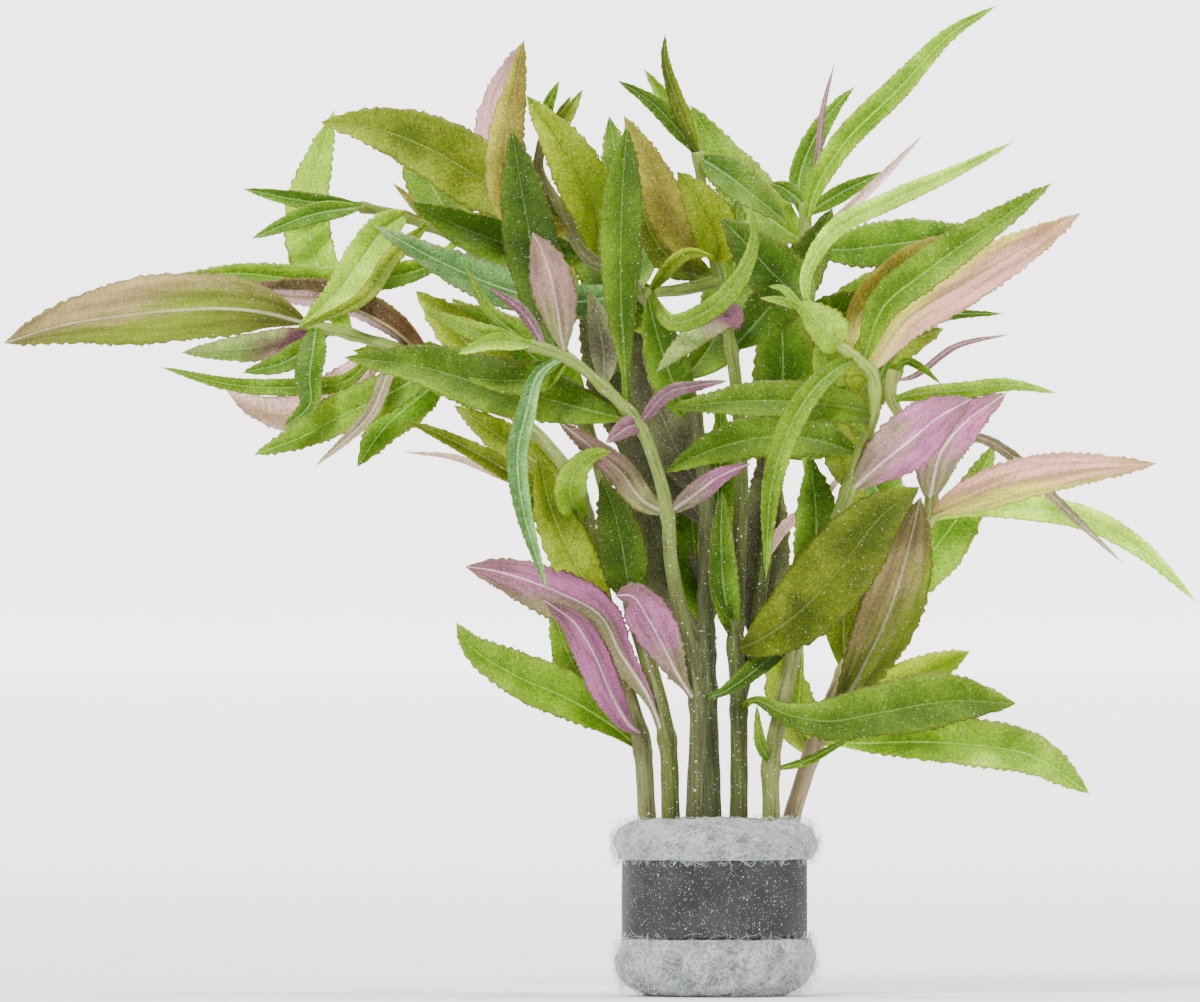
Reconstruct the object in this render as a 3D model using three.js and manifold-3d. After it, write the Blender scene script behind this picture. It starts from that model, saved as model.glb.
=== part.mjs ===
// Rice paddy herb, Limnophila aromatica: a bunch of cut shoots for an aquarium.
//
// Seven shoots stand in a plug of white filter wool, and a strip of lead is wound round the wool as a
// weight. Millimetres, +Z up. The origin is the middle of the plug's flat underside, the shoots lean
// over towards -X, and the bunch is seen from the front along +Y.
//
// A leaf is a slim closed blade: a four-sided section, two margins and a rib above and below, swept
// along its midrib. Big leaves are pieces of their own, cut back 0.3 mm from the stem that bears them.
// Young leaves at the shoot tips and narrow ones along a stem are joined to that stem.

import * as THREE from 'three';
import * as BufferGeometryUtils from 'three/addons/utils/BufferGeometryUtils.js';
import Module from 'manifold-3d';

const wasm = await Module();
wasm.setup();

// Driving dimensions
const GAP = 0.3; // clearance between neighbouring pieces

const STEM_SIDES = 6;
const STEM_RADIUS = 1.5; // at the cut end
const SIDE_RADIUS = 1.1; // where a side shoot or stalk leaves its stem
const TIP_RADIUS = 0.85; // at the growing tip
const STEM_STEPS_PER_MM = 0.11;

const LEAF_STEP_LENGTH = 7;
const LEAF_STEPS_LEAST = 4;
const LEAF_STEPS_MOST = 6;
const RIB_HALF_THICKNESS = 0.45;
const PETIOLE_HALF_WIDTH = 0.75;
const LEAF_TIP_HALF_WIDTH = 0.12;
const LEAF_CORNERS = 4; // two margins, and a rib above and below
const BELLY = 0.42; // where along its length a blade is widest
const LATE_BELLIES = { // blades that are widest nearer their tips, on a narrow base
  low_left_leaf: 0.52,
  magenta_leaf: 0.6,
  lilac_low_leaf: 0.64,
  pink_rise_leaf: 0.66,
  dark_vertical_leaf: 0.5,
  cross_leaf: 0.56,
  front_upright_leaf: 0.62,
  pink_upright_leaf: 0.54,
  dark_rise_leaf: 0.5,
  broad_olive_leaf: 0.54,
  spoon_leaf: 0.64,
  magenta_right_leaf: 0.52,
  tall_brown_leaf: 0.58,
  right_back_leaf: 0.6,
  low_right_leaf: 0.6,
  left_reach_leaf: 0.46,
  wide_back_leaf: 0.52,
};
const BLADE_FULLNESS = 0.85; // below 1 fills the outline out towards its ends

const STRIP_BOTTOM = 10;
const STRIP_HEIGHT = 13;
const STRIP_THICKNESS = 0.9;
const STRIP_TURNS = 1.15;
const STRIP_START_ANGLE = -0.3; // radians from +X, where the outer end lies
const STRIP_SEGMENTS = 26;
const STRIP_SKEW = 0.5; // how far the outer end climbs

// The wool: a squeezed waist under the strip, and a soft bulge below and above it. Radius and height.
const WOOL_SEGMENTS = 16;
const WOOL_WAIST_RADIUS = 14.3;
const WOOL_OUTLINE = [
  [0, 0], [12, 0], [15.6, 2.2], [17.2, 6.2], [16.4, 9],
  [WOOL_WAIST_RADIUS, STRIP_BOTTOM - 0.4], [WOOL_WAIST_RADIUS, STRIP_BOTTOM + STRIP_HEIGHT + 0.7],
  [16.8, 24], [17.8, 26], [16, 29], [12, 30.4], [0, 30.4],
];

const COLOURS = {
  stem: 0x77824a,
  fresh: 0x6d9a2c,
  fresh_pale: 0x92b45e,
  deep: 0x2f5a26,
  olive: 0x6c7430,
  olive_under: 0x9a8f5c,
  yellow: 0xa2a53a,
  bronze: 0x8a6a44,
  deep_fresh: 0x4c7a2a,
  pale_purple: 0xa9a873,
  pink: 0xb57aac,
  pink_pale: 0xcfa3b4,
  pink_under: 0xb98d8f,
  wool: 0xe3e5e1,
  lead: 0x4a4a4b,
};

const FRONT = new THREE.Vector3(0, -1, 0);

// A leaf's entry: what it is called, its stem, its colour, its widest, how far its face is turned about
// the midrib at the base and at the tip (degrees: 0 has the upper side to the front, 180 the underside),
// how far its two halves fold up (degrees), and its midrib from the stem out.
function leaf(name, stem, colour, width, roll, fold, ...midrib) {
  return { name, stem, colour, width, roll, fold, midrib, belly: LATE_BELLIES[name] ?? BELLY };
}

// A leaf that is joined to its stem: turned a little and folded as young leaves are.
function young(stem, width, ...midrib) {
  return { stem, width, roll: [15, 10], fold: 16, midrib, belly: BELLY };
}

// Stems: the points each one passes through, from its cut end in the wool to its growing tip.
const STEMS = {
  stem_1: [
    [-8.5, 1, 1], [-10, 1, 16], [-11.5, 1.5, 30], [-12.5, 2, 43], [-15.5, 4, 53.5], [-18, 6, 64],
    [-21, 9, 77.5], [-24, 12, 87.5], [-33, 15, 98], [-47, 17, 107], [-60, 18, 112], [-70.5, 18, 114.5],
  ],
  stem_2: [
    [-5.5, -3, 1], [-6.5, -3.5, 16], [-7.5, -4, 30], [-8, -3, 42.5], [-10, 2, 52], [-13.5, 8, 64],
    [-17, 16, 80], [-22, 22, 97], [-30, 26, 113], [-41, 28, 127], [-52, 27, 132.5], [-60.5, 25, 134.5],
  ],
  stem_3: [
    [-2.5, -6, 1], [-3, -7, 16], [-3.5, -8, 30], [-3, -9, 50], [-4.5, -10.5, 59], [-7.5, -12.5, 74],
    [-8, -13.5, 81.5], [-10, -15, 90], [-13, -16.5, 97], [-19.5, -19, 104], [-25.5, -21, 108.5],
    [-31.5, -22, 110.5],
  ],
  stem_4: [
    [-0.4, 4.5, 1], [-0.4, 5, 16], [-0.4, 5, 30], [-1, 4.5, 50], [-1.5, 4.5, 67], [-1.5, 5, 84],
    [-5, 6, 105], [-13, 6, 120], [-22.5, 5, 126.5], [-26, 3, 133.5], [-30, 2, 141], [-28, 1, 148],
  ],
  stem_5: [
    [3, -1.5, 1], [3.5, -1.5, 16], [4, -2, 30], [4, -2, 50], [3.5, -1.5, 60], [4, -0.5, 74],
    [4.5, 0, 84], [4, 0, 100], [1.5, 0, 118], [-1.5, -1, 133], [-3, -2, 143.5],
  ],
  side_shoot: [
    [4, -2, 50], [6.5, 1, 60], [8.5, 6, 74], [11, 12, 92], [14, 17, 112], [15.5, 19, 128], [15.5, 20, 135],
  ],
  stem_6: [
    [7.5, -3, 1], [8.5, -3.5, 16], [9.5, -4.5, 30], [9.5, -5, 39.5], [11.5, -6, 50], [13.5, -7, 59],
    [15.5, -8, 66], [18, -9, 74], [22.5, -10, 86], [26.5, -11, 98], [27, -12, 102], [26.5, -13, 106],
    [22, -14, 109.5], [18, -15, 113], [14.5, -16, 117],
  ],
  stem_7: [
    [9.5, 2, 1], [10.5, 2.5, 16], [13, 3, 30], [14.5, 3.5, 35], [17, 4, 42.5], [22, 7, 55], [27, 9, 66],
    [32, 10, 75], [36.5, 10, 81.5], [36.5, 10, 90], [32, 9, 98], [30, 8, 102], [30.5, 7.5, 106.5],
  ],
};

// Leaves that are pieces of their own.
const LEAVES = [
  // stem_1
  leaf('low_left_leaf', 'stem_1', 'fresh', 8.5, [25, 20], 18,
    [-12.5, 2, 41.5], [-17, 1.5, 45.5], [-25, -1, 50.5], [-33, -3.5, 54], [-41, -6, 59], [-44, -7, 63.5]),
  leaf('magenta_leaf', 'stem_1', 'pink', 6.2, [200, 200], 16,
    [-12.5, 2, 44.5], [-15, -5, 46.5], [-17.8, -9, 51.5],
    [-20.5, -11.5, 57.8], [-24, -13, 63.5], [-29, -13.5, 67.3]),
  leaf('left_reach_leaf', 'stem_1', 'olive_under', 12, [160, 165], 14,
    [-69.5, 18, 114.5], [-77.5, 12, 116.5], [-86, 9, 117],
    [-103, 5, 115.5], [-111.5, 4, 114], [-121, 2, 111]),
  leaf('bronze_fold_leaf', 'stem_1', 'bronze', 6, [150, 140], 30,
    [-48, 17, 107.5], [-55.5, 16.5, 114], [-64, 17, 118],
    [-70.5, 17.5, 119], [-79, 17.5, 119.5], [-88, 16, 120.5]),
  leaf('back_upright_leaf', 'stem_1', 'fresh_pale', 8, [-20, -6], 16,
    [-62, 19.5, 113], [-64.5, 22, 117], [-67, 24.5, 122.5], [-69, 27, 128.5],
    [-69.5, 28.5, 135], [-67.5, 29, 143], [-65, 28, 151]),
  leaf('hanging_left_leaf', 'stem_1', 'deep', 5, [10, 20], 20,
    [-68, 18, 114], [-68.5, 12, 109.5], [-69, 8, 105.5], [-69, 5, 100.5], [-73.5, 3, 96.5]),
  leaf('lower_bright_leaf', 'stem_1', 'fresh', 7.5, [25, 20], 18,
    [-47.5, 17, 107.5], [-53.5, 13, 103.5], [-58.5, 12, 101],
    [-64, 11, 98.5], [-70.5, 9, 95], [-78.5, 7, 92]),
  leaf('behind_left_leaf', 'stem_1', 'olive', 7, [20, 20], 12,
    [-23.5, 11, 86], [-31.5, 18, 91.5], [-38, 20, 96], [-44.5, 22, 100.5]),
  // stem_2
  leaf('lilac_low_leaf', 'stem_2', 'pink', 8.5, [205, 195], 14,
    [-8.5, -3, 43.5], [-11.5, -2, 51], [-16, -0.5, 58], [-19.5, 0, 64.5],
    [-26.5, 1, 68.5], [-36.5, 2, 72], [-42.5, 3, 73]),
  leaf('long_light_leaf', 'stem_2', 'fresh', 5, [20, 20], 24,
    [-44, 28, 128.5], [-49.5, 24, 124], [-64, 20.5, 121.5], [-81, 20, 123], [-92.5, 19.5, 122.5]),
  leaf('pale_drooping_leaf', 'stem_2', 'fresh_pale', 6.5, [-15, -10], 16,
    [-52.5, 27, 133.5], [-56.5, 20, 130.5], [-60.5, 14.5, 125], [-64.5, 9.5, 119.5], [-71, 4, 113.5]),
  leaf('dark_vertical_leaf', 'stem_2', 'deep', 8, [-10, -5], 12,
    [-14.5, 9, 66], [-15, 3, 71.5], [-16, 1, 77.5], [-17.5, 0, 83.5], [-19.5, 0, 88]),
  // stem_3
  leaf('pink_rise_leaf', 'stem_3', 'pink', 7.6, [170, 170], 16,
    [-3, -9, 49.5], [-6.5, -13, 55], [-9, -16, 60], [-11.5, -18, 64.5], [-14, -19, 68], [-17, -19, 68.2]),
  leaf('cross_leaf', 'stem_3', 'deep', 4, [-30, -30], 16,
    [-3, -9, 50], [2, -7, 52], [7.5, -5, 56], [12, -3, 60.5], [15, -2, 66.5]),
  leaf('front_bright_leaf', 'stem_3', 'fresh', 10, [22, 20], 16,
    [-15.5, -17, 98], [-21.5, -16.5, 99.5], [-29, -14.5, 101.5],
    [-36.5, -13, 103], [-50.5, -10, 107], [-63, -8, 108.5]),
  leaf('front_upright_leaf', 'stem_3', 'deep_fresh', 7, [-6, 6], 14,
    [-15, -17, 100], [-15.5, -20, 109.5], [-16, -21, 118],
    [-16, -21, 131], [-15.5, -19, 141], [-15, -17, 147.5]),
  leaf('pink_upright_leaf', 'stem_3', 'pink_under', 7.2, [176, 184], 12,
    [-25.5, -21, 108.5], [-26.3, -23, 113.5], [-27.3, -25, 119.5], [-29, -26, 125.5], [-31, -25, 129.5]),
  leaf('hanging_curl_leaf', 'stem_3', 'fresh', 3.5, [12, -10], 22,
    [-26, -21, 108.5], [-30, -24, 105.5], [-32, -25, 99],
    [-33.5, -24, 92], [-32.5, -22, 82.5], [-28.5, -19, 69]),
  leaf('dark_rise_leaf', 'stem_3', 'deep', 9, [8, 0], 12,
    [-27, -20, 109], [-28.5, -16, 115], [-30.5, -13, 124], [-32.5, -11, 135], [-34.5, -9, 147]),
  leaf('lilac_mid_leaf', 'stem_3', 'pink_pale', 4.8, [175, 180], 14,
    [-8, -13, 82], [-12.5, -9, 84.5], [-16, -6, 89], [-20, -4, 92.5], [-27, -2, 98]),
  leaf('pink_mid_leaf', 'stem_3', 'pink', 3.6, [185, 180], 12,
    [-8, -13, 82], [-2.5, -17, 86], [1, -19, 88.5], [6, -20, 90.5]),
  // stem_4
  leaf('top_olive_leaf', 'stem_4', 'olive', 12, [20, 15], 14,
    [-25.5, 3, 131.5], [-30.5, 3, 134], [-39, 3, 138.5],
    [-48.5, 1, 144], [-58, -1, 147.5], [-67, -3, 148.5]),
  leaf('tall_front_leaf', 'stem_4', 'olive', 6.5, [-8, 4], 14,
    [-25, 3, 130.5], [-30.5, -2, 130.5], [-35, -5, 136],
    [-35.5, -5, 145.5], [-34, -4, 154], [-32.5, -3, 162.5]),
  leaf('tall_pink_leaf', 'stem_4', 'pink_pale', 8.5, [184, 180], 12,
    [-26, 3, 134.5], [-32.5, 8, 136.5], [-36.5, 9, 143.5], [-36, 8, 153], [-32.5, 6, 162.5]),
  leaf('yellow_leaf', 'stem_4', 'yellow', 9, [15, 10], 14,
    [-20.5, 4, 126.5], [-20, 0.5, 131], [-22, -3, 137], [-26.5, -5, 145], [-32, -6, 153]),
  // stem_5
  leaf('bronze_rise_leaf', 'stem_5', 'bronze', 7, [-14, -10], 16,
    [-0.5, -1, 126.5], [-4.5, -5, 128], [-8.5, -8, 135], [-12, -9, 143], [-15.5, -9, 149.5]),
  leaf('yellow_rise_leaf', 'stem_5', 'yellow', 8, [14, 10], 14,
    [0, -0.8, 124.5], [0.6, -4, 127.5], [-0.8, -7, 131.5], [-3.3, -9.3, 135.8], [-6.5, -11, 140]),
  leaf('dark_top_leaf', 'stem_5', 'deep', 6.5, [-20, -20], 16,
    [-2.5, -2, 142.5], [2, -5, 139.5], [6.5, -7, 136], [12, -8, 131.5]),
  leaf('curled_leaf', 'stem_5', 'pale_purple', 5.5, [30, 10], 14,
    [1.5, 0, 117.5], [2.5, -6, 115.5], [0.5, -11, 115],
    [-3, -14, 112.5], [-6.5, -15, 109.5], [-10, -15, 106]),
  leaf('broad_olive_leaf', 'stem_5', 'olive', 13.5, [-22, -18], 12,
    [3.5, -1.5, 59], [7.5, -8, 60.5], [14.5, -13, 65.5],
    [21, -16, 72.5], [28, -18, 81.5], [34.5, -19, 86.5]),
  leaf('spoon_leaf', 'stem_5', 'fresh', 10, [-24, -20], 14,
    [4, -2, 48.5], [7, -7, 50.3], [12, -10, 48], [19.5, -11, 46.8],
    [28, -11, 48.3], [40, -10, 50.2], [51, -9, 49.8]),
  // side_shoot
  leaf('needle_leaf', 'side_shoot', 'fresh', 4.5, [-20, -14], 24,
    [15.7, 19.5, 131], [17.2, 16.5, 137], [22, 13, 145], [31.5, 9, 154.5], [40, 6, 163.5], [48, 4, 168.5]),
  leaf('notch_leaf', 'side_shoot', 'deep', 4, [12, 10], 20,
    [15.5, 20, 131.5], [14.5, 24, 139], [17.5, 25.5, 147], [21, 25.5, 152], [24, 25, 155]),
  leaf('wide_back_leaf', 'side_shoot', 'deep', 8, [-24, -20], 16,
    [15.5, 19, 127.5], [22, 14.5, 127], [31.5, 9, 128], [38, 7, 129], [44.5, 6, 130.5]),
  // stem_6
  leaf('light_band_leaf', 'stem_6', 'fresh_pale', 3.5, [-30, -14], 24,
    [16.5, -15.5, 115], [15.5, -19, 122], [20, -19, 129.5],
    [30, -17, 135], [40, -14, 139.5], [50.5, -11, 145]),
  leaf('bronze_right_leaf', 'stem_6', 'bronze', 5, [-25, -20], 18,
    [22.5, -14, 109.2], [25, -9.5, 116.5], [30, -9, 122.5], [36.5, -8, 127], [44.5, -7, 130]),
  leaf('folded_green_leaf', 'stem_6', 'fresh', 6.5, [-16, -10], 22,
    [25, -13.5, 107.5], [28.5, -17, 117], [35, -17, 122.5],
    [42.5, -15, 128], [50, -14, 133], [57, -13, 138]),
  leaf('folded_pink_leaf', 'stem_6', 'pink_under', 8.5, [195, 190], 14,
    [26, -13, 106], [32.5, -12, 115], [41, -11, 120.5], [50.5, -10, 126], [57, -9, 129.8], [62, -8, 133]),
  leaf('heart_leaf', 'stem_6', 'fresh_pale', 7, [15, 20], 18,
    [21.2, -14.2, 110.4], [19.6, -17, 112.2], [17, -19, 114.8], [14.2, -20.5, 118]),
  leaf('trailing_leaf', 'stem_6', 'fresh_pale', 4, [20, -12], 20,
    [24, -13.5, 108], [20.5, -20.5, 106.5], [17, -23, 103.5],
    [13, -24.5, 97.5], [9.5, -24.5, 87], [8.5, -21, 71]),
  leaf('centre_bright_leaf', 'stem_6', 'fresh', 7, [25, 20], 14,
    [26.5, -11, 99], [22, -18.5, 100], [13, -20, 101], [4.5, -20.5, 101], [-8, -20, 100]),
  leaf('dark_heart_leaf', 'stem_6', 'deep', 10, [20, 15], 12,
    [16, -15, 116], [12.5, -11, 120], [8.5, -11, 124], [5, -12, 128], [1, -12, 132]),
  leaf('olive_centre_leaf', 'stem_6', 'fresh', 8, [20, 20], 14,
    [24.5, -10.5, 92], [17, -8, 94.5], [9, -7.5, 95], [0, -8.5, 93], [-8.5, -10, 89]),
  leaf('magenta_right_leaf', 'stem_6', 'pink', 9.5, [190, 190], 12,
    [22.5, -10, 85.5], [27.5, -13, 90], [33, -14, 94.5], [38, -13, 98.5], [43.5, -12, 101.5]),
  // stem_7
  leaf('tall_brown_leaf', 'stem_7', 'olive_under', 10.5, [172, 178], 14,
    [18, 4.5, 46], [22, 1, 50.5], [26, -1, 57.5], [29.5, -1, 65], [32.2, 0, 73.5], [35, 1, 84.8]),
  leaf('right_back_leaf', 'stem_7', 'yellow', 7, [-30, -20], 12,
    [17, 4.2, 42.5], [22.5, 10.5, 47.5], [30, 12.5, 52], [37.5, 13, 55.5], [43.5, 13, 58.5]),
  leaf('low_right_leaf', 'stem_7', 'fresh', 8.5, [-26, -20], 14,
    [18, 4, 43], [25.5, -2, 43], [35, -4, 43.2], [44.7, -5, 42.6], [54, -5, 40.8], [63.5, -6, 34.5]),
  leaf('pink_right_leaf', 'stem_7', 'pink_under', 7.5, [190, 185], 14,
    [36.5, 10, 84], [38.5, 4, 92.5], [43, 1, 98], [49.5, -2, 102.5]),
  leaf('east_leaf', 'stem_7', 'pink_under', 7, [195, 190], 14,
    [36.5, 10, 81.5], [42, 4, 84], [49.5, 1, 87], [58.5, -1, 89], [75, -4, 90.5]),
  leaf('east_low_leaf', 'stem_7', 'fresh_pale', 4.5, [-20, -20], 16,
    [36.5, 10, 81], [46, 13, 83], [56, 12, 82.5], [64.5, 11, 80.5], [73, 9, 75.5], [82, 7, 67]),
];

// A short side stalk, joined to its stem like the young leaves.
const SIDE_STALKS = {
  stem_5: [[0.5, 0, 121.5], [-6, -7, 120], [-12, -14, 119.5]],
};

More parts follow.
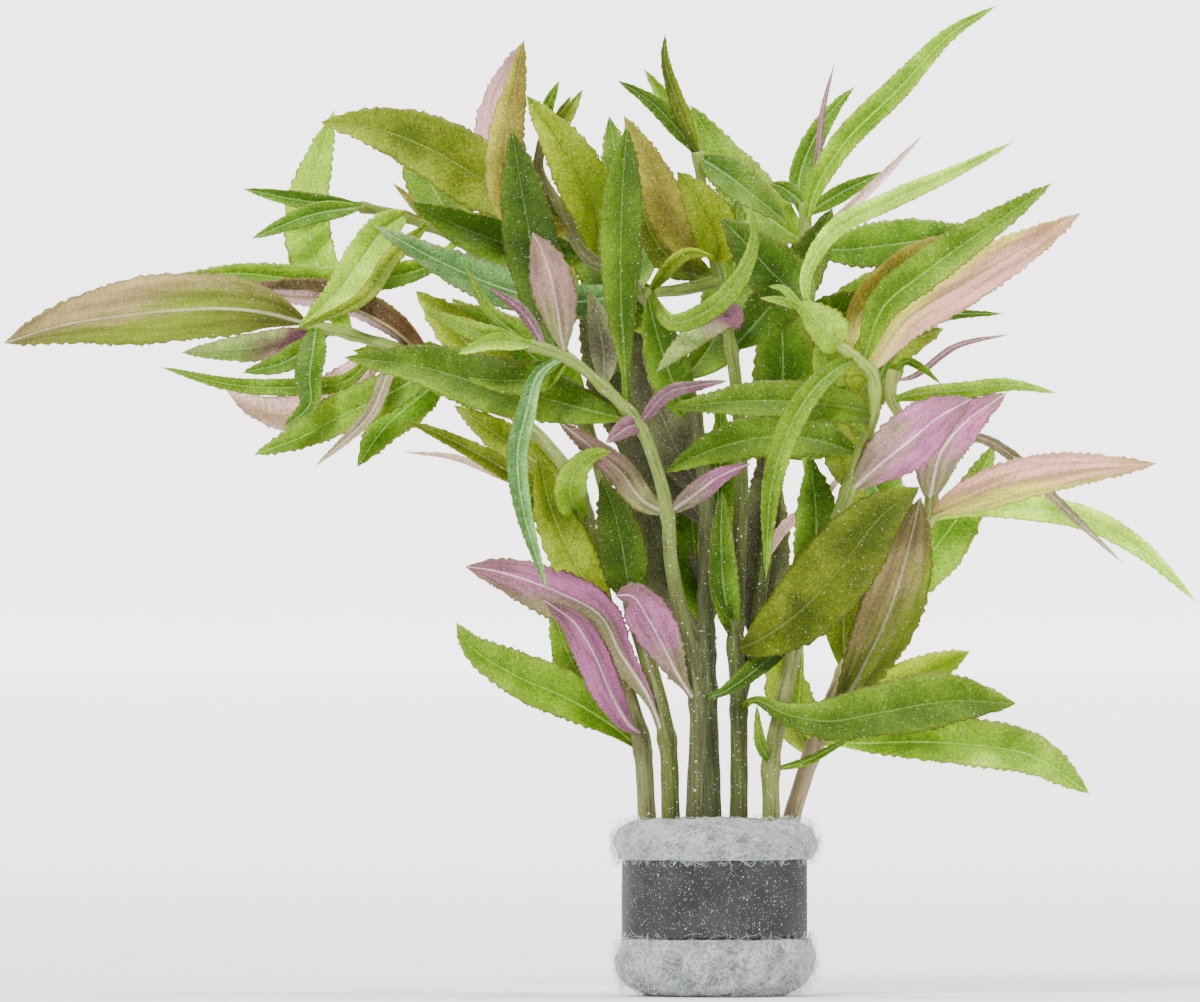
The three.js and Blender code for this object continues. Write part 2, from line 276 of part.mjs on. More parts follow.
// Narrow leaves, young leaves at the tips and leaves at the back and inside: joined to the stem they grow on.
const YOUNG_LEAVES = [
  // stem_1
  young('stem_1', 7, [-56, 18, 110.5], [-64, 20, 103], [-72, 19, 99], [-79, 17, 100.5], [-83.5, 15, 103.5]),
  young('stem_1', 7, [-45.5, 17, 106], [-49, 20, 103], [-56, 20, 97], [-61, 18, 90]),
  young('stem_1', 3.5, [-22.5, 10, 82], [-30, 8, 86], [-40, 5, 92], [-47, 3, 95.5], [-53, 1, 98]),
  young('stem_1', 5.5, [-22, 9, 81], [-24.5, 2, 84.5], [-24, -4, 89], [-21, -7, 92], [-17.5, -9, 92.5]),
  young('stem_1', 3, [-57, 18, 110.5], [-63, 14, 104.5], [-72, 13, 103.5], [-82.5, 12, 104],
    [-94.5, 10, 107]),
  young('stem_1', 5, [-66, 18, 113], [-77, 19, 110.5], [-91, 18, 109.5]),
  young('stem_1', 4, [-66, 18, 113], [-73, 15, 108], [-80.5, 13, 106]),
  young('stem_1', 1.5, [-23, 11, 85], [-35, 12, 88], [-44, 13, 91.5], [-53, 13, 92.5]),
  young('stem_1', 2.5, [-54, 17.5, 110], [-56, 9, 105], [-59, 5, 98.5], [-68, 1, 90]),
  // stem_2
  young('stem_2', 3, [-60, 25, 134.5], [-70.5, 24, 135.5], [-80.5, 22, 137.5]),
  young('stem_2', 3.5, [-60, 25, 134.5], [-69, 22, 133], [-79, 20, 129]),
  young('stem_2', 1.5, [-49, 27, 131.5], [-52, 26, 135.5], [-55, 25, 138.5]),
  young('stem_2', 3, [-49, 27, 131.5], [-55, 12, 125.5], [-60, 3, 118.5], [-72, -2, 113]),
  // stem_3
  young('stem_3', 5.5, [-25, -21, 108], [-30, -20, 105], [-35.5, -20, 104.5], [-42, -20, 105]),
  young('stem_3', 5, [-19, -19, 103.5], [-19, -15, 109.5], [-20, -13, 115], [-21.5, -12, 120]),
  young('stem_3', 3.5, [-31, -22, 110.5], [-40, -24, 112.5], [-49.5, -25, 116.5]),
  young('stem_3', 2, [-31, -22, 110.5], [-38, -22, 116], [-42.5, -21, 124]),
  young('stem_3', 3, [-31, -22, 110.5], [-37.5, -25, 111], [-43.5, -27, 109]),
  young('stem_3', 2, [-28.5, -21.5, 109.5], [-33, -19, 116.5], [-39, -18, 120.5]),
  young('stem_3', 2.5, [-13, -16.5, 97], [-8, -22, 102.5], [-4, -24, 103.5], [2, -24, 104.5]),
  young('stem_3', 3.5, [-13, -16.5, 97], [-15, -20, 96.5], [-18.5, -22, 94]),
  // stem_4
  young('stem_4', 7.5, [-5, 6, 98.5], [-8, 1, 106.5], [-10, -2, 113], [-11.5, -4, 119]),
  young('stem_4', 2, [-28, 1, 147.5], [-28.5, 0, 151], [-26.5, -1, 155.5]),
  young('stem_4', 1.5, [-28, 1, 147.5], [-26, 2, 150.5], [-24.5, 2.5, 153]),
  young('stem_4', 2.5, [-29, 1.5, 145], [-26, -1.5, 148.5], [-22.5, -3, 154]),
  young('stem_4', 6, [-1.5, 4.5, 68], [0, 9, 80], [1, 10, 92], [1, 9, 102]),
  // stem_5
  young('stem_5', 3.5, [-11, -13.5, 119.5], [-7.5, -17, 114.5], [-2, -19, 116], [3.5, -19, 121],
    [6.5, -18, 128], [6, -17, 134]),
  young('stem_5', 3, [-3, -2, 143], [-7, -3, 148], [-11, -4, 152], [-16.5, -5, 155.5]),
  young('stem_5', 3, [-3, -2, 143], [-7, -1, 150], [-12, 0, 157.5]),
  young('stem_5', 2.5, [-3, -2, 143], [-6.5, -3.5, 152], [-8.5, -4, 159], [-8.5, -4, 163.5]),
  young('stem_5', 2, [-3, -2, 143], [-4.5, -0.5, 149], [-7, 0, 154.5]),
  young('stem_5', 6, [-0.5, -0.5, 122.5], [-7, 0.5, 125], [-10.5, 1, 129], [-12.5, 1, 133.5]),
  young('stem_5', 2.5, [3.5, -1, 63], [1.5, -4, 65], [0, -5, 68]),
  young('stem_5', 2.5, [-11.5, -13.5, 119.5], [-5, -15, 126], [0, -16, 125.5]),
  // side_shoot
  young('side_shoot', 8, [14.5, 17, 110.5], [22, 11, 109.5], [31.5, 8, 111], [39, 7, 113.5]),
  young('side_shoot', 3, [15.5, 20, 133], [21, 22, 136.5], [29, 24, 140.5]),
  young('side_shoot', 3, [15.5, 20, 134.5], [12, 21.5, 137.5], [9.5, 22, 138.5]),
  young('side_shoot', 1.2, [15.5, 20, 134.5], [17.5, 19, 142], [18.5, 19, 151], [20.5, 19, 159]),
  young('side_shoot', 1.7, [15.5, 19.3, 129.5], [21, 14, 132.5], [26.5, 11, 137.5], [35.5, 9, 146.5]),
  young('side_shoot', 2, [8.5, 6, 74], [12, 0, 80], [17, -3, 83.5], [23, -5, 90.5]),
  young('side_shoot', 2.5, [12.5, 15, 103], [15, 8, 97], [16, 5, 91], [16.5, 3, 82.5]),
  // stem_6
  young('stem_6', 6, [22.5, -10, 86], [21.5, -5, 91], [21, -3, 95], [20, -2, 99.5]),
  young('stem_6', 2, [9.5, -5, 39.5], [7.5, -10, 43.5], [7, -11, 49.5]),
  young('stem_6', 1.5, [9.5, -5, 38.5], [15.5, -5, 40], [18.5, -4.5, 41.5], [24, -5.5, 44.5]),
  young('stem_6', 1.5, [14.5, -16, 116.5], [11, -17.5, 118], [7.5, -18, 118.5]),
  young('stem_6', 1.5, [14.5, -16, 116.5], [11.5, -15, 120], [9, -14.5, 120.5]),
  young('stem_6', 4.5, [14.5, -7.5, 62], [18.5, -4, 65], [21.5, -2, 69], [25, -1, 73]),
  young('stem_6', 2.5, [27, -12, 103], [31.5, -6, 112], [38, -4, 115.5], [49, -2, 116]),
  young('stem_6', 5, [18, -15, 113], [19.5, -14, 104.5], [23, -12.5, 99], [26, -12.5, 95.5]),
  // stem_7
  young('stem_7', 2, [37, 10, 90], [44, 9, 95], [50.5, 9, 92], [57, 8, 85.5], [69.5, 6, 73.5]),
  young('stem_7', 3, [30, 8, 101.5], [36, 3, 102.5], [42.5, 1, 103], [50, -1, 104], [58, -2, 102.5]),
  young('stem_7', 1.2, [30, 7.5, 104.5], [34, 5, 105.5], [41, 1, 110.5], [50, -1, 112.5]),
  young('stem_7', 1.5, [30.5, 7.5, 106], [32.5, 4, 108], [35, 2, 107], [38.5, 0, 104]),
  young('stem_7', 2.5, [30, 8, 103], [31, 10, 107], [32.5, 11, 112]),
  young('stem_7', 1.5, [17, 4, 42.5], [14.5, 1, 46.5], [14.5, 0, 53], [15, 0, 59.5]),
  // far side
  young('stem_1', 8, [-33, 15, 98], [-40, 24, 103], [-50, 32, 108], [-62, 38, 110]),
  young('stem_1', 8, [-12.5, 2, 43], [-18, 10, 48], [-24, 18, 56], [-28, 24, 66]),
  young('stem_2', 9, [-22, 22, 97], [-29, 28, 103], [-37, 35, 110], [-45, 41, 119]),
  young('stem_2', 9, [-30, 26, 113], [-28, 34, 122], [-30, 40, 134], [-34, 44, 146]),
  young('stem_2', 9, [-17, 16, 80], [-12, 24, 88], [-8, 32, 98], [-6, 38, 110]),
  young('stem_4', 10, [-5, 6, 105], [0, 14, 112], [3, 22, 122], [4, 28, 136]),
  young('stem_4', 9, [-13, 6, 120], [-14, 16, 128], [-16, 24, 138], [-18, 28, 150]),
  young('stem_4', 9, [-1.5, 4.5, 52], [-4, 12, 58], [-6, 20, 68], [-8, 26, 80]),
  young('side_shoot', 9, [14, 17, 112], [22, 24, 116], [32, 30, 122], [42, 34, 132]),
  young('side_shoot', 9, [11, 12, 92], [18, 20, 96], [26, 28, 104], [32, 34, 116]),
  young('side_shoot', 9, [15.5, 19, 128], [8, 28, 134], [2, 34, 142], [-4, 36, 152]),
  young('stem_7', 9, [27, 9, 66], [34, 16, 72], [42, 22, 82], [48, 26, 94]),
  young('stem_7', 8, [16.2, 4, 40.5], [14, 10, 46], [12, 16, 53], [12, 22, 61]),
  young('stem_1', 9, [-21, 9, 77.5], [-24, 18, 80], [-30, 27, 86], [-38, 33, 95]),
  young('stem_2', 9, [-41, 28, 127], [-46, 32, 134], [-50, 36, 142], [-52, 39, 151]),
  young('stem_4', 9, [-8, 6, 112], [-14, 14, 117], [-20, 22, 124], [-26, 29, 132]),
  young('side_shoot', 9, [12.5, 14, 100], [14, 24, 104], [18, 32, 112], [24, 38, 122]),
  young('stem_7', 8, [32, 10, 75], [30, 18, 82], [26, 26, 90], [24, 32, 102]),
  // inside the crown
  young('stem_1', 9, [-33, 15, 98], [-39, 12, 107], [-45, 11, 114], [-51, 11, 120]),
  young('stem_1', 8, [-18, 6, 64], [-24, 5, 74], [-28, 4, 83], [-30, 3, 92]),
  young('stem_2', 9, [-22, 22, 97], [-29, 20, 107], [-37, 18, 113], [-46, 17, 118]),
  young('stem_4', 8, [-21, 5, 125.5], [-30, 9, 126.5], [-40, 12, 129.5], [-52, 13, 135]),
  young('stem_4', 7, [-13, 6, 120], [-24, 3, 118], [-35, 2, 120], [-46, 3, 124.5], [-58, 6, 131]),
  young('stem_4', 9, [-1.5, 5, 84], [-7, 9, 94], [-11, 11, 104], [-14, 11, 116]),
  young('stem_4', 10, [-1.5, 5, 80], [-10, 12, 92], [-18, 15, 104], [-23, 16, 117]),
  young('stem_4', 10, [-1.2, 4.5, 58], [-6, 9, 68], [-10, 12, 78], [-13, 14, 90]),
  young('stem_4', 9, [-1.4, 4.5, 62], [-3, 10, 72], [-4, 14, 84], [-4, 16, 96]),
  young('stem_5', 5, [3.5, -1.5, 60], [1.5, -4, 69], [1, -5, 78], [1.2, -5, 86]),
  young('stem_5', 9, [3, 0, 110], [10, 2, 118], [16, 3, 126], [20, 3, 134]),
  young('side_shoot', 11, [11, 12, 92], [11.5, 11, 102], [11.5, 10, 112], [10, 9, 123]),
  young('side_shoot', 9, [6.5, 1, 60], [7.5, 7, 70], [8.5, 10, 82], [8.5, 12, 94]),
  young('side_shoot', 8, [14, 17, 112], [19, 15, 115], [24.5, 14, 117], [30, 13, 118.5]),
  young('stem_6', 8, [15.5, -8, 66], [17, -6, 75], [17, -5, 84], [16, -4, 92]),
  young('stem_7', 9, [22, 7, 55], [22, 9, 68], [23, 11, 80], [24, 12, 92]),
];

// Sweeps a section with the given number of corners along a smooth path. shape(t) gives the section's
// half width, half depth and how far its corners at the sides are lifted; frame(t, i) gives the
// direction that its depth is measured in. A pointed sweep ends in one corner instead of a section.
function sweep(path, sides, steps, shape, frame, pointed) {
  const geometry = new THREE.CylinderGeometry(pointed ? 0 : 1, 1, 1, sides, steps);
  geometry.deleteAttribute('normal');
  geometry.deleteAttribute('uv');
  const position = geometry.attributes.position;
  const corner = new THREE.Vector3();
  for (let i = 0; i < position.count; i += 1) {
    corner.fromBufferAttribute(position, i);
    const t = THREE.MathUtils.clamp(corner.y + 0.5, 0, 1);
    const reach = Math.hypot(corner.x, corner.z) || 1;
    corner.x /= reach;
    corner.z /= reach;
    const { halfWidth, halfDepth, lift } = shape(t);
    const depthways = frame(t, Math.round(t * steps));
    const sideways = path.getTangentAt(t).cross(depthways);
    const place = path.getPointAt(t);
    place.addScaledVector(sideways, corner.x * halfWidth);
    place.addScaledVector(depthways, corner.z * halfDepth + Math.abs(corner.x) * lift);
    position.setXYZ(i, place.x, place.y, place.z);
  }
  return toSolid(geometry);
}

// A closed mesh as a solid. Vertices in the same place become one, and faces left without area go.
function toSolid(geometry) {
  const merged = BufferGeometryUtils.mergeVertices(geometry, 1e-4);
  const index = Array.from(merged.index.array);
  const kept = [];
  for (let i = 0; i < index.length; i += 3) {
    const [a, b, c] = index.slice(i, i + 3);
    if (a !== b && b !== c && c !== a) {
      kept.push(a, b, c);
    }
  }
  return new wasm.Manifold(new wasm.Mesh({
    numProp: 3,
    vertProperties: new Float32Array(merged.attributes.position.array),
    triVerts: new Uint32Array(kept),
  }));
}

function toMesh(name, solid, colour, roughness, metalness = 0) {
  const { vertProperties, triVerts } = solid.getMesh();
  const geometry = new THREE.BufferGeometry();
  geometry.setAttribute('position', new THREE.BufferAttribute(vertProperties, 3));
  geometry.setIndex(new THREE.BufferAttribute(triVerts, 1));
  geometry.computeVertexNormals();
  const material = new THREE.MeshStandardMaterial({ color: colour, roughness, metalness });
  const mesh = new THREE.Mesh(geometry, material);
  mesh.name = name;
  return mesh;
}

function smoothPath(points) {
  return new THREE.CatmullRomCurve3(points.map((p) => new THREE.Vector3(...p)), false, 'centripetal');
}

// A stem, or with a margin the space that has to stay free round it.
function stemSolid(points, radius = STEM_RADIUS, margin = 0) {
  const start = [points[0][0], points[0][1], points[0][2] - margin];
  const path = smoothPath([start, ...points.slice(1)]);
  const steps = Math.round(path.getLength() * STEM_STEPS_PER_MM);
  const normals = path.computeFrenetFrames(steps).normals;
  const shape = (t) => {
    const half = THREE.MathUtils.lerp(radius, TIP_RADIUS, t) + margin;
    return { halfWidth: half, halfDepth: half, lift: 0 };
  };
  return sweep(path, STEM_SIDES, steps, shape, (t, i) => normals[i].clone(), false);
}

function leafSolid({ midrib, width, roll, fold, belly }, steps) {
  const path = smoothPath(midrib);
  const bellyPower = Math.log(0.5) / Math.log(belly);
  const shape = (t) => {
    const blade = (width / 2) * Math.sin(Math.PI * t ** bellyPower) ** BLADE_FULLNESS;
    const least = THREE.MathUtils.lerp(Math.min(PETIOLE_HALF_WIDTH, width / 4), LEAF_TIP_HALF_WIDTH, t);
    const halfWidth = Math.max(blade, least);
    return {
      halfWidth,
      halfDepth: THREE.MathUtils.lerp(RIB_HALF_THICKNESS, LEAF_TIP_HALF_WIDTH, t),
      lift: halfWidth * Math.tan(THREE.MathUtils.degToRad(fold)),
    };
  };
  const frame = (t) => {
    const tangent = path.getTangentAt(t);
    const facing = FRONT.clone().addScaledVector(tangent, -FRONT.dot(tangent)).normalize();
    return facing.applyAxisAngle(tangent, THREE.MathUtils.degToRad(THREE.MathUtils.lerp(...roll, t)));
  };
  return sweep(path, LEAF_CORNERS, steps, shape, frame, true);
}

function woolSolid() {
  const outline = WOOL_OUTLINE.map(([radius, height]) => new THREE.Vector2(radius, height));
  const geometry = new THREE.LatheGeometry(outline, WOOL_SEGMENTS);
  geometry.deleteAttribute('normal');
  geometry.deleteAttribute('uv');
  geometry.rotateX(Math.PI / 2);
  return toSolid(geometry);
}

// The lead strip: a flat band bent into a spiral, its outer end at the front right.
function stripSolid() {
  const lap = STRIP_THICKNESS + GAP;
  const innerRadius = WOOL_WAIST_RADIUS + GAP + STRIP_THICKNESS / 2;
  const geometry = new THREE.BoxGeometry(1, STRIP_THICKNESS, STRIP_HEIGHT, STRIP_SEGMENTS, 1, 1);
  geometry.deleteAttribute('normal');
  geometry.deleteAttribute('uv');
  const position = geometry.attributes.position;
  for (let i = 0; i < position.count; i += 1) {
    const turnsLeft = STRIP_TURNS * (0.5 - position.getX(i));
    const angle = STRIP_START_ANGLE - 2 * Math.PI * (STRIP_TURNS - turnsLeft);
    const radius = innerRadius + lap * turnsLeft + position.getY(i);
    const climb = (STRIP_SKEW * turnsLeft) / STRIP_TURNS;
    const height = STRIP_BOTTOM + STRIP_HEIGHT / 2 + climb - STRIP_SKEW / 2 + position.getZ(i);
    position.setXYZ(i, radius * Math.cos(angle), radius * Math.sin(angle), height);
  }
  return toSolid(geometry);
}

const bunch = new THREE.Group();
const clearances = {};
for (const [name, points] of Object.entries(STEMS)) {
  clearances[name] = stemSolid(points, name === 'side_shoot' ? SIDE_RADIUS : STEM_RADIUS, GAP);
}

let wool = woolSolid();
for (const [name, points] of Object.entries(STEMS)) {
  let shoot = stemSolid(points, name === 'side_shoot' ? SIDE_RADIUS : STEM_RADIUS);
  if (name === 'side_shoot') {
    shoot = shoot.subtract(clearances.stem_5);
  } else {
    wool = wool.subtract(clearances[name]);
  }
  if (SIDE_STALKS[name]) {
    shoot = shoot.add(stemSolid(SIDE_STALKS[name], SIDE_RADIUS));
  }
  for (const entry of YOUNG_LEAVES.filter(({ stem }) => stem === name)) {
    shoot = shoot.add(leafSolid(entry, entry.midrib.length - 1));
  }
  bunch.add(toMesh(name, shoot, COLOURS.stem, 0.5));
}
bunch.add(toMesh('wool_plug', wool, COLOURS.wool, 0.95));
bunch.add(toMesh('lead_strip', stripSolid(), COLOURS.lead, 0.5, 0.8));

for (const entry of LEAVES) {
  const steps = Math.round(smoothPath(entry.midrib).getLength() / LEAF_STEP_LENGTH);
  const blade = leafSolid(entry, THREE.MathUtils.clamp(steps, LEAF_STEPS_LEAST, LEAF_STEPS_MOST))
    .subtract(clearances[entry.stem]);
  bunch.add(toMesh(entry.name, blade, COLOURS[entry.colour], 0.5));
}

export default bunch;
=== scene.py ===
"""Rice paddy herb bunch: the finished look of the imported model.

Seven shoots with toothed green and pink leaves stand in a plug of white filter wool, bound with a strip
of lead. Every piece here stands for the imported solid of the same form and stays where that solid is.
Lengths in the lists are millimetres in the model's own frame: +Z up, the front towards -Y, the origin in
the middle of the plug's underside.
"""

from __future__ import annotations

import logging
import math
import random
from collections.abc import Callable, Iterable
from dataclasses import dataclass
from enum import Enum

import bmesh
import bpy
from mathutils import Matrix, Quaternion, Vector, noise

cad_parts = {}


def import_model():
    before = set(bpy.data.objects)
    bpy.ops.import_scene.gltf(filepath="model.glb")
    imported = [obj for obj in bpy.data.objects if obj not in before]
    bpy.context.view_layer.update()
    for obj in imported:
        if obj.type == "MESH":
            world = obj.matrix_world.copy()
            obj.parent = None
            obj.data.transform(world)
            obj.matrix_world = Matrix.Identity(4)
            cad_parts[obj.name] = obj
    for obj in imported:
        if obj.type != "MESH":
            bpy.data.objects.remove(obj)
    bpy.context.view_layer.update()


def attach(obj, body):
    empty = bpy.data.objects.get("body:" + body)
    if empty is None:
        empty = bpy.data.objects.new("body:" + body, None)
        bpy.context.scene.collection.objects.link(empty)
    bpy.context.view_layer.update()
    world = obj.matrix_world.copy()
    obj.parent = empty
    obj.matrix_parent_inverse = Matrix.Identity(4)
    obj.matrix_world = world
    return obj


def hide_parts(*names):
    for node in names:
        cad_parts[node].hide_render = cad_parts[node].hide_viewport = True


MM = 0.001
FRONT = Vector((0, -1, 0))
SEED = 7
MERGED = 1e-8  # Vertices closer than this are one, in m.
DECIMETRE = 100.0  # The unit of the map `size`, in mm.
FULL_TINT = 2.0  # The brightness that the attribute `tint` holds as 1.

Colour = tuple[float, float, float]
Point = tuple[float, float, float]
Socket = bpy.types.NodeSocket
Material = bpy.types.Material
Piece = bpy.types.Object
Shell = bmesh.types.BMesh
Vert = bmesh.types.BMVert
Face = bmesh.types.BMFace

log = logging.getLogger("rice_paddy_herb")


class Tone(Enum):
    """The kinds of leaf that the bunch carries, by the colour they show."""

    FRESH = "fresh"
    DEEP_FRESH = "deep_fresh"
    FRESH_PALE = "fresh_pale"
    DEEP = "deep"
    OLIVE = "olive"
    OLIVE_UNDER = "olive_under"
    YELLOW = "yellow"
    BRONZE = "bronze"
    PINK = "pink"
    PINK_PALE = "pink_pale"
    PINK_UNDER = "pink_under"
    PALE_PURPLE = "pale_purple"
    # Dark brown-purple leaves deep in the bunch: partly their own colour and partly painted shade.
    DUSK = "dusk"
    DUSTY = "dusty"
    TEAL = "teal"


@dataclass(frozen=True)
class LeafFinish:
    """The colours of one kind of leaf, as linear RGB.

    Attributes:
        slot: the material slot of the record that it belongs to. It is not used.
        face: the upper side.
        light: the lighter patches of the upper side, which also paint one half of some leaves lighter, as
            if lit.
        back: the underside.
        flush: the colour that the underside turns where it is flushed.
        flushed: how much of the underside is flushed, 0 to 1.
        vein: the midrib and side veins.
        edge: the line along the margin, and the tinge of some tips.
    """

    slot: str
    face: Colour
    light: Colour
    back: Colour
    flush: Colour
    flushed: float
    vein: Colour
    edge: Colour = (0.075, 0.058, 0.018)


MAGENTA: Colour = (0.31, 0.095, 0.20)
ROSE: Colour = (0.42, 0.20, 0.20)
FINISHES: dict[Tone, LeafFinish] = {
    Tone.FRESH: LeafFinish(
        "leaf_fresh", (0.048, 0.108, 0.001), (0.125, 0.225, 0.004), (0.18, 0.28, 0.03), ROSE, 0.05,
        (0.24, 0.38, 0.05),
    ),
    Tone.DEEP_FRESH: LeafFinish(
        "leaf_fresh", (0.036, 0.082, 0.001), (0.082, 0.160, 0.003), (0.12, 0.20, 0.03), ROSE, 0.05,
        (0.17, 0.29, 0.04),
    ),
    Tone.FRESH_PALE: LeafFinish(
        "leaf_pale", (0.19, 0.36, 0.004), (0.38, 0.62, 0.025), (0.25, 0.37, 0.08), ROSE, 0.05,
        (0.48, 0.66, 0.16),
    ),
    Tone.DEEP: LeafFinish(
        "leaf_deep", (0.022, 0.055, 0.001), (0.056, 0.118, 0.003), (0.10, 0.16, 0.03), ROSE, 0.1,
        (0.15, 0.25, 0.06),
    ),
    Tone.OLIVE: LeafFinish(
        "leaf_olive", (0.066, 0.096, 0.002), (0.165, 0.220, 0.006), (0.17, 0.19, 0.04), ROSE, 0.2,
        (0.25, 0.30, 0.06),
    ),
    Tone.OLIVE_UNDER: LeafFinish(
        "leaf_olive", (0.066, 0.096, 0.002), (0.165, 0.220, 0.006), (0.175, 0.235, 0.010),
        (0.34, 0.25, 0.10), 0.4, (0.50, 0.50, 0.30),
    ),
    Tone.YELLOW: LeafFinish(
        "leaf_fresh", (0.105, 0.165, 0.001), (0.25, 0.33, 0.002), (0.20, 0.26, 0.03), ROSE, 0.1,
        (0.07, 0.12, 0.004),
    ),
    Tone.BRONZE: LeafFinish(
        "leaf_bronze", (0.14, 0.112, 0.010), (0.29, 0.27, 0.03), (0.07, 0.048, 0.018),
        (0.60, 0.35, 0.36), 0.30, (0.30, 0.28, 0.10), (0.13, 0.055, 0.022),
    ),
    Tone.PINK: LeafFinish(
        "leaf_pink", (0.16, 0.06, 0.09), (0.28, 0.14, 0.17), (0.175, 0.155, 0.070), MAGENTA, 0.75,
        (0.55, 0.44, 0.38),
    ),
    Tone.PINK_PALE: LeafFinish(
        "leaf_pink", (0.50, 0.32, 0.25), (0.85, 0.50, 0.50), (0.27, 0.25, 0.11), (0.50, 0.27, 0.28),
        0.6, (0.55, 0.50, 0.30),
    ),
    Tone.PINK_UNDER: LeafFinish(
        "leaf_pink", (0.08, 0.15, 0.010), (0.16, 0.22, 0.02), (0.50, 0.44, 0.08), (0.62, 0.29, 0.23),
        0.5, (0.34, 0.27, 0.10), (0.20, 0.17, 0.02),
    ),
    Tone.PALE_PURPLE: LeafFinish(
        "leaf_pale", (0.17, 0.26, 0.04), (0.30, 0.42, 0.10), (0.20, 0.16, 0.09), (0.17, 0.07, 0.10),
        0.5, (0.34, 0.40, 0.20),
    ),
    # Leaves deep in the bunch: a dark brown-purple, partly their own colour and partly painted shade.
    Tone.DUSK: LeafFinish(
        "leaf_deep", (0.050, 0.044, 0.026), (0.105, 0.115, 0.048), (0.07, 0.06, 0.035),
        (0.10, 0.05, 0.06), 0.5, (0.14, 0.15, 0.06),
    ),
    Tone.TEAL: LeafFinish(
        "leaf_deep", (0.030, 0.085, 0.014), (0.10, 0.22, 0.055), (0.10, 0.18, 0.05), ROSE, 0.1,
        (0.27, 0.43, 0.17),
    ),
    Tone.DUSTY: LeafFinish(
        "leaf_pink", (0.14, 0.12, 0.05), (0.26, 0.20, 0.13), (0.25, 0.24, 0.08), (0.37, 0.215, 0.175),
        0.6, (0.58, 0.52, 0.36),
    ),
}


@dataclass(frozen=True)
class Dress:
    """How one leaf differs from others of its kind.

    Attributes:
        bright: its brightness, 1 being plain: partly the leaf's own tone and partly painted light and
            shade, to make up for how the light falls on it.
        half: which half of the underside is flushed more, 0 or 1 for the two sides of the midrib.
        flushed: how much of the underside is flushed, where that differs.
        tone: the kind whose surfaces it wears, where that isn't its own.
    """

    bright: float = 1.0
    half: float = 0.5
    flushed: float | None = None
    tone: Tone | None = None


@dataclass(frozen=True)
class Leaf:
    """One leaf.

    Attributes:
        name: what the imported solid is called, or empty where the leaf is joined to its stem.
        stem: the stem that bears it.
        tone: its colours.
        width: its widest, in mm.
        roll: how far its face is turned about the midrib at base and tip, in degrees. 0 has the upper side
            to the front and 180 the underside.
        fold: how far its two halves fold up, in degrees.
        midrib: the points of its midrib, from the stem out, in mm.
        dress: how it differs from others of its kind.
        belly: how far along it is widest, as a share of its length.
    """

    name: str
    stem: str
    tone: Tone
    width: float
    roll: tuple[float, float]
    fold: float
    midrib: tuple[Point, ...]
    dress: Dress = Dress()
    belly: float = 0.42


# Stems and leaves: the same lists as the solids are made from.
STEMS: dict[str, tuple[Point, ...]] = {
    "stem_1": (
        (-8.5, 1, 1), (-10, 1, 16), (-11.5, 1.5, 30), (-12.5, 2, 43), (-15.5, 4, 53.5), (-18, 6, 64),
        (-21, 9, 77.5), (-24, 12, 87.5), (-33, 15, 98), (-47, 17, 107), (-60, 18, 112), (-70.5, 18, 114.5),
    ),
    "stem_2": (
        (-5.5, -3, 1), (-6.5, -3.5, 16), (-7.5, -4, 30), (-8, -3, 42.5), (-10, 2, 52), (-13.5, 8, 64),
        (-17, 16, 80), (-22, 22, 97), (-30, 26, 113), (-41, 28, 127), (-52, 27, 132.5), (-60.5, 25, 134.5),
    ),
    "stem_3": (
        (-2.5, -6, 1), (-3, -7, 16), (-3.5, -8, 30), (-3, -9, 50), (-4.5, -10.5, 59), (-7.5, -12.5, 74),
        (-8, -13.5, 81.5), (-10, -15, 90), (-13, -16.5, 97), (-19.5, -19, 104), (-25.5, -21, 108.5),
        (-31.5, -22, 110.5),
    ),
    "stem_4": (
        (-0.4, 4.5, 1), (-0.4, 5, 16), (-0.4, 5, 30), (-1, 4.5, 50), (-1.5, 4.5, 67), (-1.5, 5, 84),
        (-5, 6, 105), (-13, 6, 120), (-22.5, 5, 126.5), (-26, 3, 133.5), (-30, 2, 141), (-28, 1, 148),
    ),
    "stem_5": (
        (3, -1.5, 1), (3.5, -1.5, 16), (4, -2, 30), (4, -2, 50), (3.5, -1.5, 60), (4, -0.5, 74),
        (4.5, 0, 84), (4, 0, 100), (1.5, 0, 118), (-1.5, -1, 133), (-3, -2, 143.5),
    ),
    "side_shoot": (
        (4, -2, 50), (6.5, 1, 60), (8.5, 6, 74), (11, 12, 92), (14, 17, 112), (15.5, 19, 128),
        (15.5, 20, 135),
    ),
    "stem_6": (
        (7.5, -3, 1), (8.5, -3.5, 16), (9.5, -4.5, 30), (9.5, -5, 39.5), (11.5, -6, 50), (13.5, -7, 59),
        (15.5, -8, 66), (18, -9, 74), (22.5, -10, 86), (26.5, -11, 98), (27, -12, 102), (26.5, -13, 106),
        (22, -14, 109.5), (18, -15, 113), (14.5, -16, 117),
    ),
    "stem_7": (
        (9.5, 2, 1), (10.5, 2.5, 16), (13, 3, 30), (14.5, 3.5, 35), (17, 4, 42.5), (22, 7, 55), (27, 9, 66),
        (32, 10, 75), (36.5, 10, 81.5), (36.5, 10, 90), (32, 9, 98), (30, 8, 102), (30.5, 7.5, 106.5),
    ),
}

